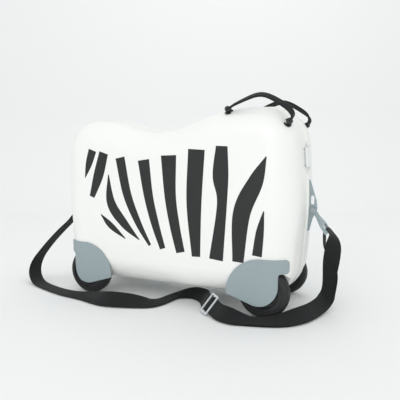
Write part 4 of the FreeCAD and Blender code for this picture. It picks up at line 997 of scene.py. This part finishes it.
@dataclass
class StripePrint:
    """The animal stripes printed on the side of a half, in a plain layout of tapering bands."""

    half: Half
    lift_mm: float = 0.14
    ink_mm: float = 0.1
    start_mm: float = 200.0
    least_mm: float = 0.6
    rows: int = 40
    columns: int = 8
    # How far to each side a line is looked at for its direction, as a share of it
    look: float = 0.02
    stripes: tuple[Stripe, ...] = (
        Stripe(((-164, 300), (-174, 272), (-184, 244)), (19, 15, 1)),
        Stripe(((-137, 295), (-151, 250), (-168, 206)), (21, 23, 12)),
        Stripe(((-127, 252), (-122, 196), (-92, 156), (-58, 126)), (2, 20, 18, 2)),
        Stripe(((-147, 171), (-124, 150), (-90, 126)), (2, 13, 2)),
        Stripe(((-99, 286), (-84, 215), (-60, 160), (-34, 117)), (21, 19, 14, 6)),
        Stripe(((-46, 282), (-36, 214), (-22, 160), (-6, 113)), (25, 20, 17, 12)),
        Stripe(((8, 291), (11, 216), (20, 160), (32, 109)), (32, 24, 21, 18)),
        Stripe(((65, 302), (60, 203), (64, 104)), (33, 30, 17)),
        Stripe(((114, 308), (112, 255), (115, 205), (104, 102)), (22, 30, 19, 27)),
        Stripe(((195, 290), (177, 247), (152, 190), (146, 102)), (2, 27, 32, 21)),
        Stripe(((192, 196), (186, 160), (181, 116)), (2, 14, 18)),
    )

    @staticmethod
    def smooth(values: list[Vector], share: float) -> Vector:
        """A point on a smooth line through points.

        Args:
            values: The points.
            share: How far along the line, from zero to one.

        Returns:
            The point.
        """
        place = min(share * (len(values) - 1), len(values) - 1 - 1e-9)
        i, part = int(place), place - int(place)
        before, after = values[i], values[i + 1]
        early = (after - values[i - 1]) / 2 if i else after - before
        late = (values[i + 2] - before) / 2 if i + 2 < len(values) else after - before
        a, b = part * part * (3 - 2 * part), part * (1 - part)
        return before * (1 - a) + after * a + early * (b * (1 - part)) - late * (b * part)

    def grid(self, stripe: Stripe) -> list[Vector]:
        """The stripe's points as seen from the side, row by row.

        Args:
            stripe: The stripe.

        Returns:
            Places along and up the case, in metres.
        """
        middle = [Vector(spot) for spot in stripe.line]
        widths = [Vector((width, 0)) for width in stripe.widths]
        spots = []
        for row in range(self.rows + 1):
            share = row / self.rows
            width = max(self.least_mm, self.smooth(widths, share).x)
            ahead, behind = min(1, share + self.look), max(0, share - self.look)
            way = (self.smooth(middle, ahead) - self.smooth(middle, behind)).normalized()
            normal = Vector((way.y, -way.x))
            for column in range(self.columns + 1):
                across = normal * (width * (column / self.columns - 0.5))
                spots.append((self.smooth(middle, share) + across) * MM)
        return spots

    def build(self, finisher: Finisher, shell: bpy.types.Object) -> None:
        """Lay the stripes on the shell's side as a thin closed skin of ink.

        Args:
            finisher: Hands out the material.
            shell: The half's CAD node.
        """
        side = self.half.value
        skin = BVHTree.FromPolygons(
            [vertex.co for vertex in shell.data.vertices], [polygon.vertices for polygon in shell.data.polygons]
        )
        wide = self.columns + 1
        vertices, faces = [], []
        for stripe in self.stripes:
            start = len(vertices)
            for x, z in self.grid(stripe):
                hit = skin.ray_cast(Vector((x, side * self.start_mm * MM, z)), Vector((0, -side, 0)))[0]
                vertices.append(hit + Vector((0, side * self.lift_mm * MM, 0)))
            for row in range(self.rows):
                for column in range(self.columns):
                    corner = start + row * wide + column
                    faces.append((corner, corner + 1, corner + wide + 1, corner + wide)[::-side])
        name = f"{self.half.word}_stripes"
        mesh = bpy.data.meshes.new(name)
        mesh.from_pydata(vertices, [], faces)
        layer = bmesh.new()
        layer.from_mesh(mesh)
        bmesh.ops.solidify(layer, geom=layer.faces[:], thickness=self.ink_mm * MM)
        bmesh.ops.recalc_face_normals(layer, faces=layer.faces)
        for face in layer.faces:
            face.smooth = True
        layer.to_mesh(mesh)
        layer.free()
        mesh.set_sharp_from_angle(angle=SHARP)
        mesh.materials.append(finisher.material(PRINT))
        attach(linked(name, mesh), f"{self.half.word}_half")


@dataclass(frozen=True)
class Lamp:
    """A soft square lamp: its name, place, the point it faces, its side in metres and its power in watts."""

    name: str
    place: Point
    target: Point
    size: float
    power: float


@dataclass
class Studio:
    """The camera at the photograph's angle, the pale paper and the soft lights."""

    camera_place: Point = (0.4078, -0.8573, 0.3037)
    camera_turn_degrees: Point = (83.57, 0.0, 23.9)
    lens_mm: float = 41.17
    sensor_mm: float = 36.0
    wall_reach: float = 1.6
    floor_reach: float = 4.0
    sweep_radius: float = 0.5
    sweep_steps: int = 16
    room_colour: str = "F5F6F6"
    room_strength: float = 0.9
    lamps: tuple[Lamp, ...] = (
        Lamp("key", (0.4, -2.1, 1.1), (0.0, 0.0, 0.18), 1.6, 11.4),
        Lamp("fill", (1.6, -1.0, 1.0), (0.0, 0.0, 0.18), 1.4, 0.4),
        Lamp("top", (0.1, 0.4, 2.0), (0.0, 0.0, 0.18), 1.8, 1.6),
        Lamp("backdrop", (0.0, 0.7, 2.1), (-0.65, 1.45, 0.6), 1.4, 4.0),
    )

    def set_camera(self) -> None:
        """Put the camera where the photograph was taken from."""
        scene = bpy.context.scene
        data = bpy.data.cameras.new("camera")
        data.lens = self.lens_mm
        data.sensor_width = self.sensor_mm
        camera = bpy.data.objects.new("camera", data)
        camera.location = self.camera_place
        camera.rotation_euler = [math.radians(turn) for turn in self.camera_turn_degrees]
        scene.collection.objects.link(camera)
        scene.camera = camera
        scene.view_settings.view_transform = "Standard"

    def build_paper(self, finisher: Finisher) -> None:
        """Roll out the paper: a floor that curves up into a wall.

        Args:
            finisher: Hands out the material.
        """
        turns = [math.pi / 2 * step / self.sweep_steps for step in range(self.sweep_steps + 1)]
        bend = [
            (self.wall_reach - self.sweep_radius * (1 - math.sin(turn)), self.sweep_radius * (1 - math.cos(turn)))
            for turn in turns
        ]
        outline = [(-self.floor_reach, 0.0), *bend, (self.wall_reach, self.floor_reach)]
        turn = math.radians(self.camera_turn_degrees[2])
        forward = Vector((-math.sin(turn), math.cos(turn), 0))
        right = Vector((math.cos(turn), math.sin(turn), 0))
        vertices = [
            forward * reach + right * side + Vector((0, 0, height))
            for reach, height in outline for side in (-self.floor_reach, self.floor_reach)
        ]
        faces = [(2 * i, 2 * i + 1, 2 * i + 3, 2 * i + 2) for i in range(len(outline) - 1)]
        mesh = bpy.data.meshes.new("paper")
        mesh.from_pydata(vertices, [], faces)
        mesh.polygons.foreach_set("use_smooth", [True] * len(faces))
        mesh.materials.append(finisher.material(PAPER))
        linked("paper", mesh)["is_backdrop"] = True

    @staticmethod
    def add_lamp(lamp: Lamp) -> None:
        """Hang a lamp so that it faces its point.

        Args:
            lamp: The lamp.
        """
        data = bpy.data.lights.new(lamp.name, "AREA")
        data.size = lamp.size
        data.energy = lamp.power
        light = bpy.data.objects.new(lamp.name, data)
        light.location = lamp.place
        light.rotation_euler = (Vector(lamp.target) - Vector(lamp.place)).to_track_quat("-Z", "Y").to_euler()
        bpy.context.scene.collection.objects.link(light)

    def build_lights(self) -> None:
        """Set the soft light of the room and hang the lamps."""
        world = bpy.data.worlds.new("room")
        bpy.context.scene.world = world
        world.use_nodes = True
        sky = world.node_tree.nodes["Background"]
        sky.inputs["Color"].default_value = linear(self.room_colour)
        sky.inputs["Strength"].default_value = self.room_strength
        for lamp in self.lamps:
            self.add_lamp(lamp)


@dataclass
class RideOnCase:
    """The whole suitcase on its CAD frame."""

    frame: dict
    finisher: Finisher = field(default_factory=Finisher)

    def finish_nodes(self) -> None:
        """Give each CAD node the finish of its slot in the record."""
        for row in self.frame["record"]["subparts"]:
            node = self.frame["nodes"][row["node"]]
            node.data.materials.clear()
            node.data.materials.append(self.finisher.material(SLOT_FINISHES[row["material_slot"]]))

    def build(self) -> None:
        """Build every piece that the frame doesn't show by itself."""
        nodes = self.frame["nodes"]
        strap = ShoulderStrap()
        rear_strand = strap.build(self.finisher, nodes["strap_slider"])
        self.finish_nodes()
        rows = StitchRows(self.finisher.material(THREAD))
        strap.sew(rows, rear_strand)
        for half in Half:
            for end in ("front", "rear"):
                TyreBead(f"{half.word}_{end}").build(self.finisher)
            CarryHandle(half).build(self.finisher, rows)
            StripePrint(half).build(self.finisher, nodes[f"{half.word}_shell"])


def main() -> None:
    """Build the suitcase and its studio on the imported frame."""
    logging.basicConfig(level=logging.INFO)
    for item in list(bpy.data.objects):
        bpy.data.objects.remove(item)
    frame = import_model()
    studio = Studio()
    studio.set_camera()
    case = RideOnCase(frame)
    case.build()
    studio.build_paper(case.finisher)
    studio.build_lights()
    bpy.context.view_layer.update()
    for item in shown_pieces():
        if item.name not in frame["nodes"]:
            LOG.info("%s: %d faces of %s", item.name, len(item.data.polygons), item.data.materials[0].name)


if __name__ == "__main__":
    main()
